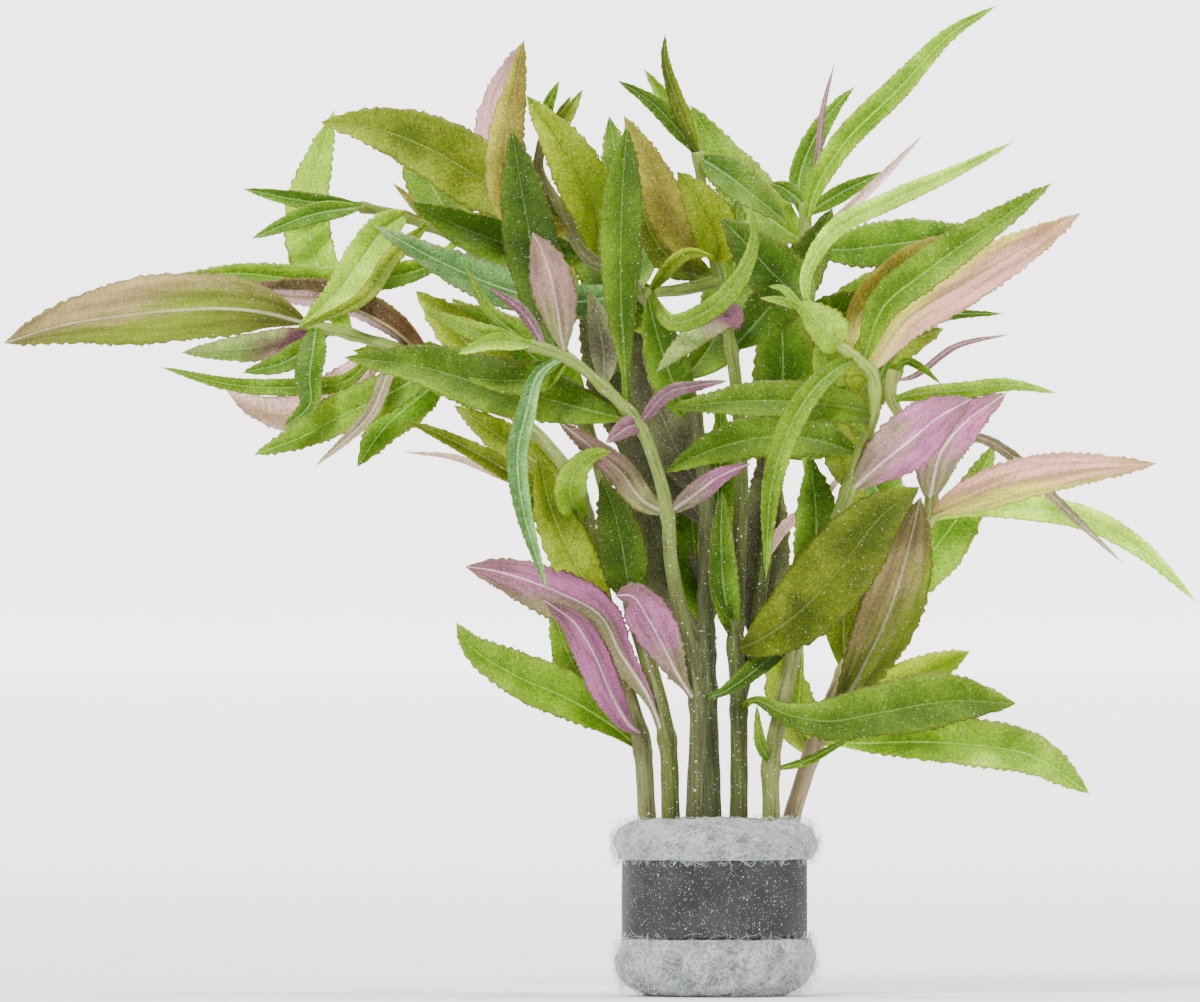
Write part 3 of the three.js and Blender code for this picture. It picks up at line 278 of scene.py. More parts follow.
SIDE_STALKS: dict[str, tuple[Point, ...]] = {
    "stem_5": (
        (0.5, 0, 121.5), (-6, -7, 120), (-12, -14, 119.5),
    ),
}
LEAVES: tuple[Leaf, ...] = (
    Leaf("low_left_leaf", "stem_1", Tone.FRESH, 8.5, (25, 20), 18, (
        (-12.5, 2, 41.5), (-17, 1.5, 45.5), (-25, -1, 50.5), (-33, -3.5, 54), (-41, -6, 59),
        (-44, -7, 63.5)), Dress(1.7), belly=0.52),
    Leaf("magenta_leaf", "stem_1", Tone.PINK, 6.2, (200, 200), 16, (
        (-12.5, 2, 44.5), (-15, -5, 46.5), (-17.8, -9, 51.5), (-20.5, -11.5, 57.8), (-24, -13, 63.5),
        (-29, -13.5, 67.3)), Dress(0.9, 0.35, 0.95), belly=0.6),
    Leaf("left_reach_leaf", "stem_1", Tone.OLIVE_UNDER, 12, (160, 165), 14, (
        (-69.5, 18, 114.5), (-77.5, 12, 116.5), (-86, 9, 117), (-103, 5, 115.5), (-111.5, 4, 114),
        (-121, 2, 111)), Dress(1.0, 0.0, 0.25), belly=0.46),
    Leaf("bronze_fold_leaf", "stem_1", Tone.BRONZE, 6, (150, 140), 30, (
        (-48, 17, 107.5), (-55.5, 16.5, 114), (-64, 17, 118), (-70.5, 17.5, 119), (-79, 17.5, 119.5),
        (-88, 16, 120.5)), Dress(1.15, 0.95)),
    Leaf("back_upright_leaf", "stem_1", Tone.FRESH_PALE, 8, (-20, -6), 16, (
        (-62, 19.5, 113), (-64.5, 22, 117), (-67, 24.5, 122.5), (-69, 27, 128.5), (-69.5, 28.5, 135),
        (-67.5, 29, 143), (-65, 28, 151)), Dress(1.3)),
    Leaf("hanging_left_leaf", "stem_1", Tone.DEEP, 5, (10, 20), 20, (
        (-68, 18, 114), (-68.5, 12, 109.5), (-69, 8, 105.5), (-69, 5, 100.5),
        (-73.5, 3, 96.5)), Dress(1.85)),
    Leaf("lower_bright_leaf", "stem_1", Tone.FRESH, 7.5, (25, 20), 18, (
        (-47.5, 17, 107.5), (-53.5, 13, 103.5), (-58.5, 12, 101), (-64, 11, 98.5), (-70.5, 9, 95),
        (-78.5, 7, 92)), Dress(1.7)),
    Leaf("behind_left_leaf", "stem_1", Tone.OLIVE, 7, (20, 20), 12, (
        (-23.5, 11, 86), (-31.5, 18, 91.5), (-38, 20, 96), (-44.5, 22, 100.5)), Dress(1.6)),
    Leaf("lilac_low_leaf", "stem_2", Tone.PINK, 8.5, (205, 195), 14, (
        (-8.5, -3, 43.5), (-11.5, -2, 51), (-16, -0.5, 58), (-19.5, 0, 64.5), (-26.5, 1, 68.5),
        (-36.5, 2, 72), (-42.5, 3, 73)), Dress(1.1, 0.0, 0.35), belly=0.64),
    Leaf("long_light_leaf", "stem_2", Tone.FRESH, 5, (20, 20), 24, (
        (-44, 28, 128.5), (-49.5, 24, 124), (-64, 20.5, 121.5), (-81, 20, 123),
        (-92.5, 19.5, 122.5)), Dress(1.9)),
    Leaf("pale_drooping_leaf", "stem_2", Tone.FRESH_PALE, 6.5, (-15, -10), 16, (
        (-52.5, 27, 133.5), (-56.5, 20, 130.5), (-60.5, 14.5, 125), (-64.5, 9.5, 119.5),
        (-71, 4, 113.5)), Dress(1.2)),
    Leaf("dark_vertical_leaf", "stem_2", Tone.DEEP, 8, (-10, -5), 12, (
        (-14.5, 9, 66), (-15, 3, 71.5), (-16, 1, 77.5), (-17.5, 0, 83.5),
        (-19.5, 0, 88)), Dress(1.05), belly=0.5),
    Leaf("pink_rise_leaf", "stem_3", Tone.PINK, 7.6, (170, 170), 16, (
        (-3, -9, 49.5), (-6.5, -13, 55), (-9, -16, 60), (-11.5, -18, 64.5), (-14, -19, 68),
        (-17, -19, 68.2)), Dress(1.0, 0.5, 0.40), belly=0.66),
    Leaf("cross_leaf", "stem_3", Tone.DEEP, 4, (-30, -30), 16, (
        (-3, -9, 50), (2, -7, 52), (7.5, -5, 56), (12, -3, 60.5), (15, -2, 66.5)), Dress(1.1), belly=0.56),
    Leaf("front_bright_leaf", "stem_3", Tone.FRESH, 10, (22, 20), 16, (
        (-15.5, -17, 98), (-21.5, -16.5, 99.5), (-29, -14.5, 101.5), (-36.5, -13, 103), (-50.5, -10, 107),
        (-63, -8, 108.5)), Dress(0.84)),
    Leaf("front_upright_leaf", "stem_3", Tone.DEEP_FRESH, 7, (-6, 6), 14, (
        (-15, -17, 100), (-15.5, -20, 109.5), (-16, -21, 118), (-16, -21, 131), (-15.5, -19, 141),
        (-15, -17, 147.5)), Dress(0.92), belly=0.62),
    Leaf("pink_upright_leaf", "stem_3", Tone.PINK_UNDER, 7.2, (176, 184), 12, (
        (-25.5, -21, 108.5), (-26.3, -23, 113.5), (-27.3, -25, 119.5), (-29, -26, 125.5),
        (-31, -25, 129.5)), Dress(0.75, 0.3, 0.55, Tone.DUSTY), belly=0.54),
    Leaf("hanging_curl_leaf", "stem_3", Tone.FRESH, 3.5, (12, -10), 22, (
        (-26, -21, 108.5), (-30, -24, 105.5), (-32, -25, 99), (-33.5, -24, 92), (-32.5, -22, 82.5),
        (-28.5, -19, 69)), Dress(1.6, tone=Tone.TEAL)),
    Leaf("dark_rise_leaf", "stem_3", Tone.DEEP, 9, (8, 0), 12, (
        (-27, -20, 109), (-28.5, -16, 115), (-30.5, -13, 124), (-32.5, -11, 135),
        (-34.5, -9, 147)), Dress(0.82), belly=0.5),
    Leaf("lilac_mid_leaf", "stem_3", Tone.PINK_PALE, 4.8, (175, 180), 14, (
        (-8, -13, 82), (-12.5, -9, 84.5), (-16, -6, 89), (-20, -4, 92.5),
        (-27, -2, 98)), Dress(0.8, 0.5, 0.5, Tone.DUSTY)),
    Leaf("pink_mid_leaf", "stem_3", Tone.PINK, 3.6, (185, 180), 12, (
        (-8, -13, 82), (-2.5, -17, 86), (1, -19, 88.5), (6, -20, 90.5)), Dress(0.85, 0.5, 0.5)),
    Leaf("top_olive_leaf", "stem_4", Tone.OLIVE, 12, (20, 15), 14, (
        (-25.5, 3, 131.5), (-30.5, 3, 134), (-39, 3, 138.5), (-48.5, 1, 144), (-58, -1, 147.5),
        (-67, -3, 148.5)), Dress(1.15)),
    Leaf("tall_front_leaf", "stem_4", Tone.OLIVE, 6.5, (-8, 4), 14, (
        (-25, 3, 130.5), (-30.5, -2, 130.5), (-35, -5, 136), (-35.5, -5, 145.5), (-34, -4, 154),
        (-32.5, -3, 162.5)), Dress(1.1, tone=Tone.BRONZE)),
    Leaf("tall_pink_leaf", "stem_4", Tone.PINK_PALE, 8.5, (184, 180), 12, (
        (-26, 3, 134.5), (-32.5, 8, 136.5), (-36.5, 9, 143.5), (-36, 8, 153),
        (-32.5, 6, 162.5)), Dress(1.6)),
    Leaf("yellow_leaf", "stem_4", Tone.YELLOW, 9, (15, 10), 14, (
        (-20.5, 4, 126.5), (-20, 0.5, 131), (-22, -3, 137), (-26.5, -5, 145), (-32, -6, 153)), Dress(1.15)),
    Leaf("bronze_rise_leaf", "stem_5", Tone.BRONZE, 7, (-14, -10), 16, (
        (-0.5, -1, 126.5), (-4.5, -5, 128), (-8.5, -8, 135), (-12, -9, 143),
        (-15.5, -9, 149.5)), Dress(1.05)),
    Leaf("yellow_rise_leaf", "stem_5", Tone.YELLOW, 8, (14, 10), 14, (
        (0, -0.8, 124.5), (0.6, -4, 127.5), (-0.8, -7, 131.5), (-3.3, -9.3, 135.8),
        (-6.5, -11, 140)), Dress(1.05)),
    Leaf("dark_top_leaf", "stem_5", Tone.DEEP, 6.5, (-20, -20), 16, (
        (-2.5, -2, 142.5), (2, -5, 139.5), (6.5, -7, 136), (12, -8, 131.5)), Dress(1.7)),
    Leaf("curled_leaf", "stem_5", Tone.PALE_PURPLE, 5.5, (30, 10), 14, (
        (1.5, 0, 117.5), (2.5, -6, 115.5), (0.5, -11, 115), (-3, -14, 112.5), (-6.5, -15, 109.5),
        (-10, -15, 106)), Dress(1.1)),
    Leaf("broad_olive_leaf", "stem_5", Tone.OLIVE, 13.5, (-22, -18), 12, (
        (3.5, -1.5, 59), (7.5, -8, 60.5), (14.5, -13, 65.5), (21, -16, 72.5), (28, -18, 81.5),
        (34.5, -19, 86.5)), Dress(0.66), belly=0.54),
    Leaf("spoon_leaf", "stem_5", Tone.FRESH, 10, (-24, -20), 14, (
        (4, -2, 48.5), (7, -7, 50.3), (12, -10, 48), (19.5, -11, 46.8), (28, -11, 48.3), (40, -10, 50.2),
        (51, -9, 49.8)), Dress(0.84), belly=0.64),
    Leaf("needle_leaf", "side_shoot", Tone.FRESH, 4.5, (-20, -14), 24, (
        (15.7, 19.5, 131), (17.2, 16.5, 137), (22, 13, 145), (31.5, 9, 154.5), (40, 6, 163.5),
        (48, 4, 168.5)), Dress(2.5)),
    Leaf("notch_leaf", "side_shoot", Tone.DEEP, 4, (12, 10), 20, (
        (15.5, 20, 131.5), (14.5, 24, 139), (17.5, 25.5, 147), (21, 25.5, 152), (24, 25, 155)), Dress(2.8)),
    Leaf("wide_back_leaf", "side_shoot", Tone.DEEP, 8, (-24, -20), 16, (
        (15.5, 19, 127.5), (22, 14.5, 127), (31.5, 9, 128), (38, 7, 129),
        (44.5, 6, 130.5)), Dress(2.0), belly=0.52),
    Leaf("light_band_leaf", "stem_6", Tone.FRESH_PALE, 3.5, (-30, -14), 24, (
        (16.5, -15.5, 115), (15.5, -19, 122), (20, -19, 129.5), (30, -17, 135), (40, -14, 139.5),
        (50.5, -11, 145)), Dress(1.15)),
    Leaf("bronze_right_leaf", "stem_6", Tone.BRONZE, 5, (-25, -20), 18, (
        (22.5, -14, 109.2), (25, -9.5, 116.5), (30, -9, 122.5), (36.5, -8, 127),
        (44.5, -7, 130)), Dress(1.55)),
    Leaf("folded_green_leaf", "stem_6", Tone.FRESH, 6.5, (-16, -10), 22, (
        (25, -13.5, 107.5), (28.5, -17, 117), (35, -17, 122.5), (42.5, -15, 128), (50, -14, 133),
        (57, -13, 138)), Dress(1.4)),
    Leaf("folded_pink_leaf", "stem_6", Tone.PINK_UNDER, 8.5, (195, 190), 14, (
        (26, -13, 106), (32.5, -12, 115), (41, -11, 120.5), (50.5, -10, 126), (57, -9, 129.8),
        (62, -8, 133)), Dress(1.5, 0.0)),
    Leaf("heart_leaf", "stem_6", Tone.FRESH_PALE, 7, (15, 20), 18, (
        (21.2, -14.2, 110.4), (19.6, -17, 112.2), (17, -19, 114.8), (14.2, -20.5, 118)), Dress(0.9)),
    Leaf("trailing_leaf", "stem_6", Tone.FRESH_PALE, 4, (20, -12), 20, (
        (24, -13.5, 108), (20.5, -20.5, 106.5), (17, -23, 103.5), (13, -24.5, 97.5), (9.5, -24.5, 87),
        (8.5, -21, 71)), Dress(1.2, tone=Tone.FRESH)),
    Leaf("centre_bright_leaf", "stem_6", Tone.FRESH, 7, (25, 20), 14, (
        (26.5, -11, 99), (22, -18.5, 100), (13, -20, 101), (4.5, -20.5, 101), (-8, -20, 100)), Dress(0.9)),
    Leaf("dark_heart_leaf", "stem_6", Tone.DEEP, 10, (20, 15), 12, (
        (16, -15, 116), (12.5, -11, 120), (8.5, -11, 124), (5, -12, 128), (1, -12, 132)), Dress(1.25)),
    Leaf("olive_centre_leaf", "stem_6", Tone.FRESH, 8, (20, 20), 14, (
        (24.5, -10.5, 92), (17, -8, 94.5), (9, -7.5, 95), (0, -8.5, 93), (-8.5, -10, 89)), Dress(0.95)),
    Leaf("magenta_right_leaf", "stem_6", Tone.PINK, 9.5, (190, 190), 12, (
        (22.5, -10, 85.5), (27.5, -13, 90), (33, -14, 94.5), (38, -13, 98.5),
        (43.5, -12, 101.5)), Dress(1.55, 0.35, 0.55), belly=0.52),
    Leaf("tall_brown_leaf", "stem_7", Tone.OLIVE_UNDER, 10.5, (172, 178), 14, (
        (18, 4.5, 46), (22, 1, 50.5), (26, -1, 57.5), (29.5, -1, 65), (32.2, 0, 73.5),
        (35, 1, 84.8)), Dress(0.72, 0.8, 0.35), belly=0.58),
    Leaf("right_back_leaf", "stem_7", Tone.YELLOW, 7, (-30, -20), 12, (
        (17, 4.2, 42.5), (22.5, 10.5, 47.5), (30, 12.5, 52), (37.5, 13, 55.5),
        (43.5, 13, 58.5)), Dress(2.3), belly=0.6),
    Leaf("low_right_leaf", "stem_7", Tone.FRESH, 8.5, (-26, -20), 14, (
        (18, 4, 43), (25.5, -2, 43), (35, -4, 43.2), (44.7, -5, 42.6), (54, -5, 40.8),
        (63.5, -6, 34.5)), Dress(2.3), belly=0.6),
    Leaf("pink_right_leaf", "stem_7", Tone.PINK_UNDER, 7.5, (190, 185), 14, (
        (36.5, 10, 84), (38.5, 4, 92.5), (43, 1, 98), (49.5, -2, 102.5)), Dress(2.1, 0.5, 0.5, Tone.PINK)),
    Leaf("east_leaf", "stem_7", Tone.PINK_UNDER, 7, (195, 190), 14, (
        (36.5, 10, 81.5), (42, 4, 84), (49.5, 1, 87), (58.5, -1, 89), (75, -4, 90.5)), Dress(1.30, 1.0)),
    Leaf("east_low_leaf", "stem_7", Tone.FRESH_PALE, 4.5, (-20, -20), 16, (
        (36.5, 10, 81), (46, 13, 83), (56, 12, 82.5), (64.5, 11, 80.5), (73, 9, 75.5),
        (82, 7, 67)), Dress(1.6)),
)
YOUNG_LEAVES: dict[str, tuple[tuple[Tone, float, tuple[Point, ...]], ...]] = {
    "stem_1": (
        (Tone.PINK_PALE, 7, (
            (-56, 18, 110.5), (-64, 20, 103), (-72, 19, 99), (-79, 17, 100.5), (-83.5, 15, 103.5))),
        (Tone.DEEP, 7, ((-45.5, 17, 106), (-49, 20, 103), (-56, 20, 97), (-61, 18, 90))),
        (Tone.OLIVE, 3.5, ((-22.5, 10, 82), (-30, 8, 86), (-40, 5, 92), (-47, 3, 95.5), (-53, 1, 98))),
        (Tone.FRESH_PALE, 5.5, (
            (-22, 9, 81), (-24.5, 2, 84.5), (-24, -4, 89), (-21, -7, 92), (-17.5, -9, 92.5))),
        (Tone.FRESH, 3, (
            (-57, 18, 110.5), (-63, 14, 104.5), (-72, 13, 103.5), (-82.5, 12, 104), (-94.5, 10, 107))),
        (Tone.PALE_PURPLE, 5, ((-66, 18, 113), (-77, 19, 110.5), (-91, 18, 109.5))),
        (Tone.DEEP, 4, ((-66, 18, 113), (-73, 15, 108), (-80.5, 13, 106))),
        (Tone.PINK_PALE, 1.5, ((-23, 11, 85), (-35, 12, 88), (-44, 13, 91.5), (-53, 13, 92.5))),
        (Tone.DUSTY, 2.5, ((-54, 17.5, 110), (-56, 9, 105), (-59, 5, 98.5), (-68, 1, 90))),
        (Tone.FRESH, 8, ((-33, 15, 98), (-40, 24, 103), (-50, 32, 108), (-62, 38, 110))),
        (Tone.FRESH, 8, ((-12.5, 2, 43), (-18, 10, 48), (-24, 18, 56), (-28, 24, 66))),
        (Tone.DEEP, 9, ((-21, 9, 77.5), (-24, 18, 80), (-30, 27, 86), (-38, 33, 95))),
        (Tone.OLIVE, 9, ((-33, 15, 98), (-39, 12, 107), (-45, 11, 114), (-51, 11, 120))),
        (Tone.OLIVE, 8, ((-18, 6, 64), (-24, 5, 74), (-28, 4, 83), (-30, 3, 92))),
    ),
    "stem_2": (
        (Tone.DEEP, 3, ((-60, 25, 134.5), (-70.5, 24, 135.5), (-80.5, 22, 137.5))),
        (Tone.DEEP, 3.5, ((-60, 25, 134.5), (-69, 22, 133), (-79, 20, 129))),
        (Tone.BRONZE, 1.5, ((-49, 27, 131.5), (-52, 26, 135.5), (-55, 25, 138.5))),
        (Tone.YELLOW, 3, ((-49, 27, 131.5), (-55, 12, 125.5), (-60, 3, 118.5), (-72, -2, 113))),
        (Tone.FRESH, 9, ((-22, 22, 97), (-29, 28, 103), (-37, 35, 110), (-45, 41, 119))),
        (Tone.OLIVE, 9, ((-30, 26, 113), (-28, 34, 122), (-30, 40, 134), (-34, 44, 146))),
        (Tone.DEEP, 9, ((-17, 16, 80), (-12, 24, 88), (-8, 32, 98), (-6, 38, 110))),
        (Tone.FRESH, 9, ((-41, 28, 127), (-46, 32, 134), (-50, 36, 142), (-52, 39, 151))),
        (Tone.DEEP, 9, ((-22, 22, 97), (-29, 20, 107), (-37, 18, 113), (-46, 17, 118))),
    ),
    "stem_3": (
        (Tone.FRESH, 5.5, ((-25, -21, 108), (-30, -20, 105), (-35.5, -20, 104.5), (-42, -20, 105))),
        (Tone.DUSK, 5, ((-19, -19, 103.5), (-19, -15, 109.5), (-20, -13, 115), (-21.5, -12, 120))),
        (Tone.FRESH_PALE, 3.5, ((-31, -22, 110.5), (-40, -24, 112.5), (-49.5, -25, 116.5))),
        (Tone.FRESH, 2, ((-31, -22, 110.5), (-38, -22, 116), (-42.5, -21, 124))),
        (Tone.FRESH_PALE, 3, ((-31, -22, 110.5), (-37.5, -25, 111), (-43.5, -27, 109))),
        (Tone.PINK, 2, ((-28.5, -21.5, 109.5), (-33, -19, 116.5), (-39, -18, 120.5))),
        (Tone.PINK, 2.5, ((-13, -16.5, 97), (-8, -22, 102.5), (-4, -24, 103.5), (2, -24, 104.5))),
        (Tone.PINK, 3.5, ((-13, -16.5, 97), (-15, -20, 96.5), (-18.5, -22, 94))),
    ),
    "stem_4": (
        (Tone.DEEP, 7.5, ((-5, 6, 98.5), (-8, 1, 106.5), (-10, -2, 113), (-11.5, -4, 119))),
        (Tone.FRESH, 2, ((-28, 1, 147.5), (-28.5, 0, 151), (-26.5, -1, 155.5))),
        (Tone.OLIVE, 1.5, ((-28, 1, 147.5), (-26, 2, 150.5), (-24.5, 2.5, 153))),
        (Tone.OLIVE, 2.5, ((-29, 1.5, 145), (-26, -1.5, 148.5), (-22.5, -3, 154))),
        (Tone.DEEP, 6, ((-1.5, 4.5, 68), (0, 9, 80), (1, 10, 92), (1, 9, 102))),
        (Tone.FRESH, 10, ((-5, 6, 105), (0, 14, 112), (3, 22, 122), (4, 28, 136))),
        (Tone.DEEP, 9, ((-13, 6, 120), (-14, 16, 128), (-16, 24, 138), (-18, 28, 150))),
        (Tone.OLIVE, 9, ((-1.5, 4.5, 52), (-4, 12, 58), (-6, 20, 68), (-8, 26, 80))),
        (Tone.FRESH, 9, ((-8, 6, 112), (-14, 14, 117), (-20, 22, 124), (-26, 29, 132))),
        (Tone.DEEP, 8, ((-21, 5, 125.5), (-30, 9, 126.5), (-40, 12, 129.5), (-52, 13, 135))),
        (Tone.TEAL, 7, ((-13, 6, 120), (-24, 3, 118), (-35, 2, 120), (-46, 3, 124.5), (-58, 6, 131))),
        (Tone.DUSK, 9, ((-1.5, 5, 84), (-7, 9, 94), (-11, 11, 104), (-14, 11, 116))),
        (Tone.DUSK, 10, ((-1.5, 5, 80), (-10, 12, 92), (-18, 15, 104), (-23, 16, 117))),
        (Tone.DUSK, 10, ((-1.2, 4.5, 58), (-6, 9, 68), (-10, 12, 78), (-13, 14, 90))),
        (Tone.DEEP, 9, ((-1.4, 4.5, 62), (-3, 10, 72), (-4, 14, 84), (-4, 16, 96))),
    ),
    "stem_5": (
        (Tone.FRESH_PALE, 3.5, (
            (-11, -13.5, 119.5), (-7.5, -17, 114.5), (-2, -19, 116), (3.5, -19, 121), (6.5, -18, 128),
            (6, -17, 134))),
        (Tone.DEEP, 3, ((-3, -2, 143), (-7, -3, 148), (-11, -4, 152), (-16.5, -5, 155.5))),
        (Tone.FRESH_PALE, 3, ((-3, -2, 143), (-7, -1, 150), (-12, 0, 157.5))),
        (Tone.OLIVE, 2.5, ((-3, -2, 143), (-6.5, -3.5, 152), (-8.5, -4, 159), (-8.5, -4, 163.5))),
        (Tone.FRESH_PALE, 2, ((-3, -2, 143), (-4.5, -0.5, 149), (-7, 0, 154.5))),
        (Tone.OLIVE, 6, ((-0.5, -0.5, 122.5), (-7, 0.5, 125), (-10.5, 1, 129), (-12.5, 1, 133.5))),
        (Tone.FRESH, 2.5, ((3.5, -1, 63), (1.5, -4, 65), (0, -5, 68))),
        (Tone.YELLOW, 2.5, ((-11.5, -13.5, 119.5), (-5, -15, 126), (0, -16, 125.5))),
        (Tone.DEEP, 5, ((3.5, -1.5, 60), (1.5, -4, 69), (1, -5, 78), (1.2, -5, 86))),
        (Tone.DEEP, 9, ((3, 0, 110), (10, 2, 118), (16, 3, 126), (20, 3, 134))),
    ),
    "side_shoot": (
        (Tone.OLIVE, 8, ((14.5, 17, 110.5), (22, 11, 109.5), (31.5, 8, 111), (39, 7, 113.5))),
        (Tone.DEEP, 3, ((15.5, 20, 133), (21, 22, 136.5), (29, 24, 140.5))),
        (Tone.DEEP, 3, ((15.5, 20, 134.5), (12, 21.5, 137.5), (9.5, 22, 138.5))),
        (Tone.PINK, 1.2, ((15.5, 20, 134.5), (17.5, 19, 142), (18.5, 19, 151), (20.5, 19, 159))),
        (Tone.PINK_PALE, 1.7, ((15.5, 19.3, 129.5), (21, 14, 132.5), (26.5, 11, 137.5), (35.5, 9, 146.5))),
        (Tone.PINK_PALE, 2, ((8.5, 6, 74), (12, 0, 80), (17, -3, 83.5), (23, -5, 90.5))),
        (Tone.DEEP, 2.5, ((12.5, 15, 103), (15, 8, 97), (16, 5, 91), (16.5, 3, 82.5))),
        (Tone.FRESH, 9, ((14, 17, 112), (22, 24, 116), (32, 30, 122), (42, 34, 132))),
        (Tone.OLIVE, 9, ((11, 12, 92), (18, 20, 96), (26, 28, 104), (32, 34, 116))),
        (Tone.FRESH, 9, ((15.5, 19, 128), (8, 28, 134), (2, 34, 142), (-4, 36, 152))),
        (Tone.DEEP, 9, ((12.5, 14, 100), (14, 24, 104), (18, 32, 112), (24, 38, 122))),
        (Tone.DEEP, 11, ((11, 12, 92), (11.5, 11, 102), (11.5, 10, 112), (10, 9, 123))),
        (Tone.DUSK, 9, ((6.5, 1, 60), (7.5, 7, 70), (8.5, 10, 82), (8.5, 12, 94))),
        (Tone.FRESH, 8, ((14, 17, 112), (19, 15, 115), (24.5, 14, 117), (30, 13, 118.5))),
    ),
    "stem_6": (
        (Tone.YELLOW, 6, ((22.5, -10, 86), (21.5, -5, 91), (21, -3, 95), (20, -2, 99.5))),
        (Tone.FRESH, 2, ((9.5, -5, 39.5), (7.5, -10, 43.5), (7, -11, 49.5))),
        (Tone.FRESH, 1.5, ((9.5, -5, 38.5), (15.5, -5, 40), (18.5, -4.5, 41.5), (24, -5.5, 44.5))),
        (Tone.FRESH_PALE, 1.5, ((14.5, -16, 116.5), (11, -17.5, 118), (7.5, -18, 118.5))),
        (Tone.FRESH_PALE, 1.5, ((14.5, -16, 116.5), (11.5, -15, 120), (9, -14.5, 120.5))),
        (Tone.FRESH, 4.5, ((14.5, -7.5, 62), (18.5, -4, 65), (21.5, -2, 69), (25, -1, 73))),
        (Tone.DEEP, 2.5, ((27, -12, 103), (31.5, -6, 112), (38, -4, 115.5), (49, -2, 116))),
        (Tone.FRESH_PALE, 5, ((18, -15, 113), (19.5, -14, 104.5), (23, -12.5, 99), (26, -12.5, 95.5))),
        (Tone.DEEP, 8, ((15.5, -8, 66), (17, -6, 75), (17, -5, 84), (16, -4, 92))),
    ),
    "stem_7": (
        (Tone.DUSTY, 2, ((37, 10, 90), (44, 9, 95), (50.5, 9, 92), (57, 8, 85.5), (69.5, 6, 73.5))),
        (Tone.FRESH_PALE, 3, (
            (30, 8, 101.5), (36, 3, 102.5), (42.5, 1, 103), (50, -1, 104), (58, -2, 102.5))),
        (Tone.PINK, 1.2, ((30, 7.5, 104.5), (34, 5, 105.5), (41, 1, 110.5), (50, -1, 112.5))),
        (Tone.FRESH, 1.5, ((30.5, 7.5, 106), (32.5, 4, 108), (35, 2, 107), (38.5, 0, 104))),
        (Tone.FRESH, 2.5, ((30, 8, 103), (31, 10, 107), (32.5, 11, 112))),
        (Tone.FRESH, 1.5, ((17, 4, 42.5), (14.5, 1, 46.5), (14.5, 0, 53), (15, 0, 59.5))),
        (Tone.FRESH, 9, ((27, 9, 66), (34, 16, 72), (42, 22, 82), (48, 26, 94))),
        (Tone.OLIVE, 8, ((16.2, 4, 40.5), (14, 10, 46), (12, 16, 53), (12, 22, 61))),
        (Tone.DEEP, 8, ((32, 10, 75), (30, 18, 82), (26, 26, 90), (24, 32, 102))),
        (Tone.OLIVE, 9, ((22, 7, 55), (22, 9, 68), (23, 11, 80), (24, 12, 92))),
    ),
}
YOUNG_ROLL = (15, 10)
YOUNG_FOLD = 16
# How bright the young leaves of a kind are, where they differ from the big ones: partly their own tone and
# partly painted light and shade.
YOUNG_BRIGHT: dict[Tone, float] = {
    Tone.FRESH_PALE: 0.75, Tone.FRESH: 1.1, Tone.DEEP: 1.9, Tone.OLIVE: 1.1, Tone.DUSK: 1.2, Tone.TEAL: 1.4,
}
# How bright the young leaves of a stem are, where they differ from those of others: partly their own tone
# and partly painted light and shade.
SHOOT_BRIGHT: dict[str, float] = {
    "stem_1": 1.3, "stem_2": 1.1, "stem_3": 0.85, "stem_4": 1.1, "stem_5": 0.65, "side_shoot": 1.25,
    "stem_7": 1.7,
}


def young_leaves(stem: str) -> list[Leaf]:
    """Gives the leaves that are joined to a stem, turned a little and folded as young leaves are."""
    young = YOUNG_LEAVES[stem]
    return [Leaf("", stem, tone, width, YOUNG_ROLL, YOUNG_FOLD, midrib) for tone, width, midrib in young]


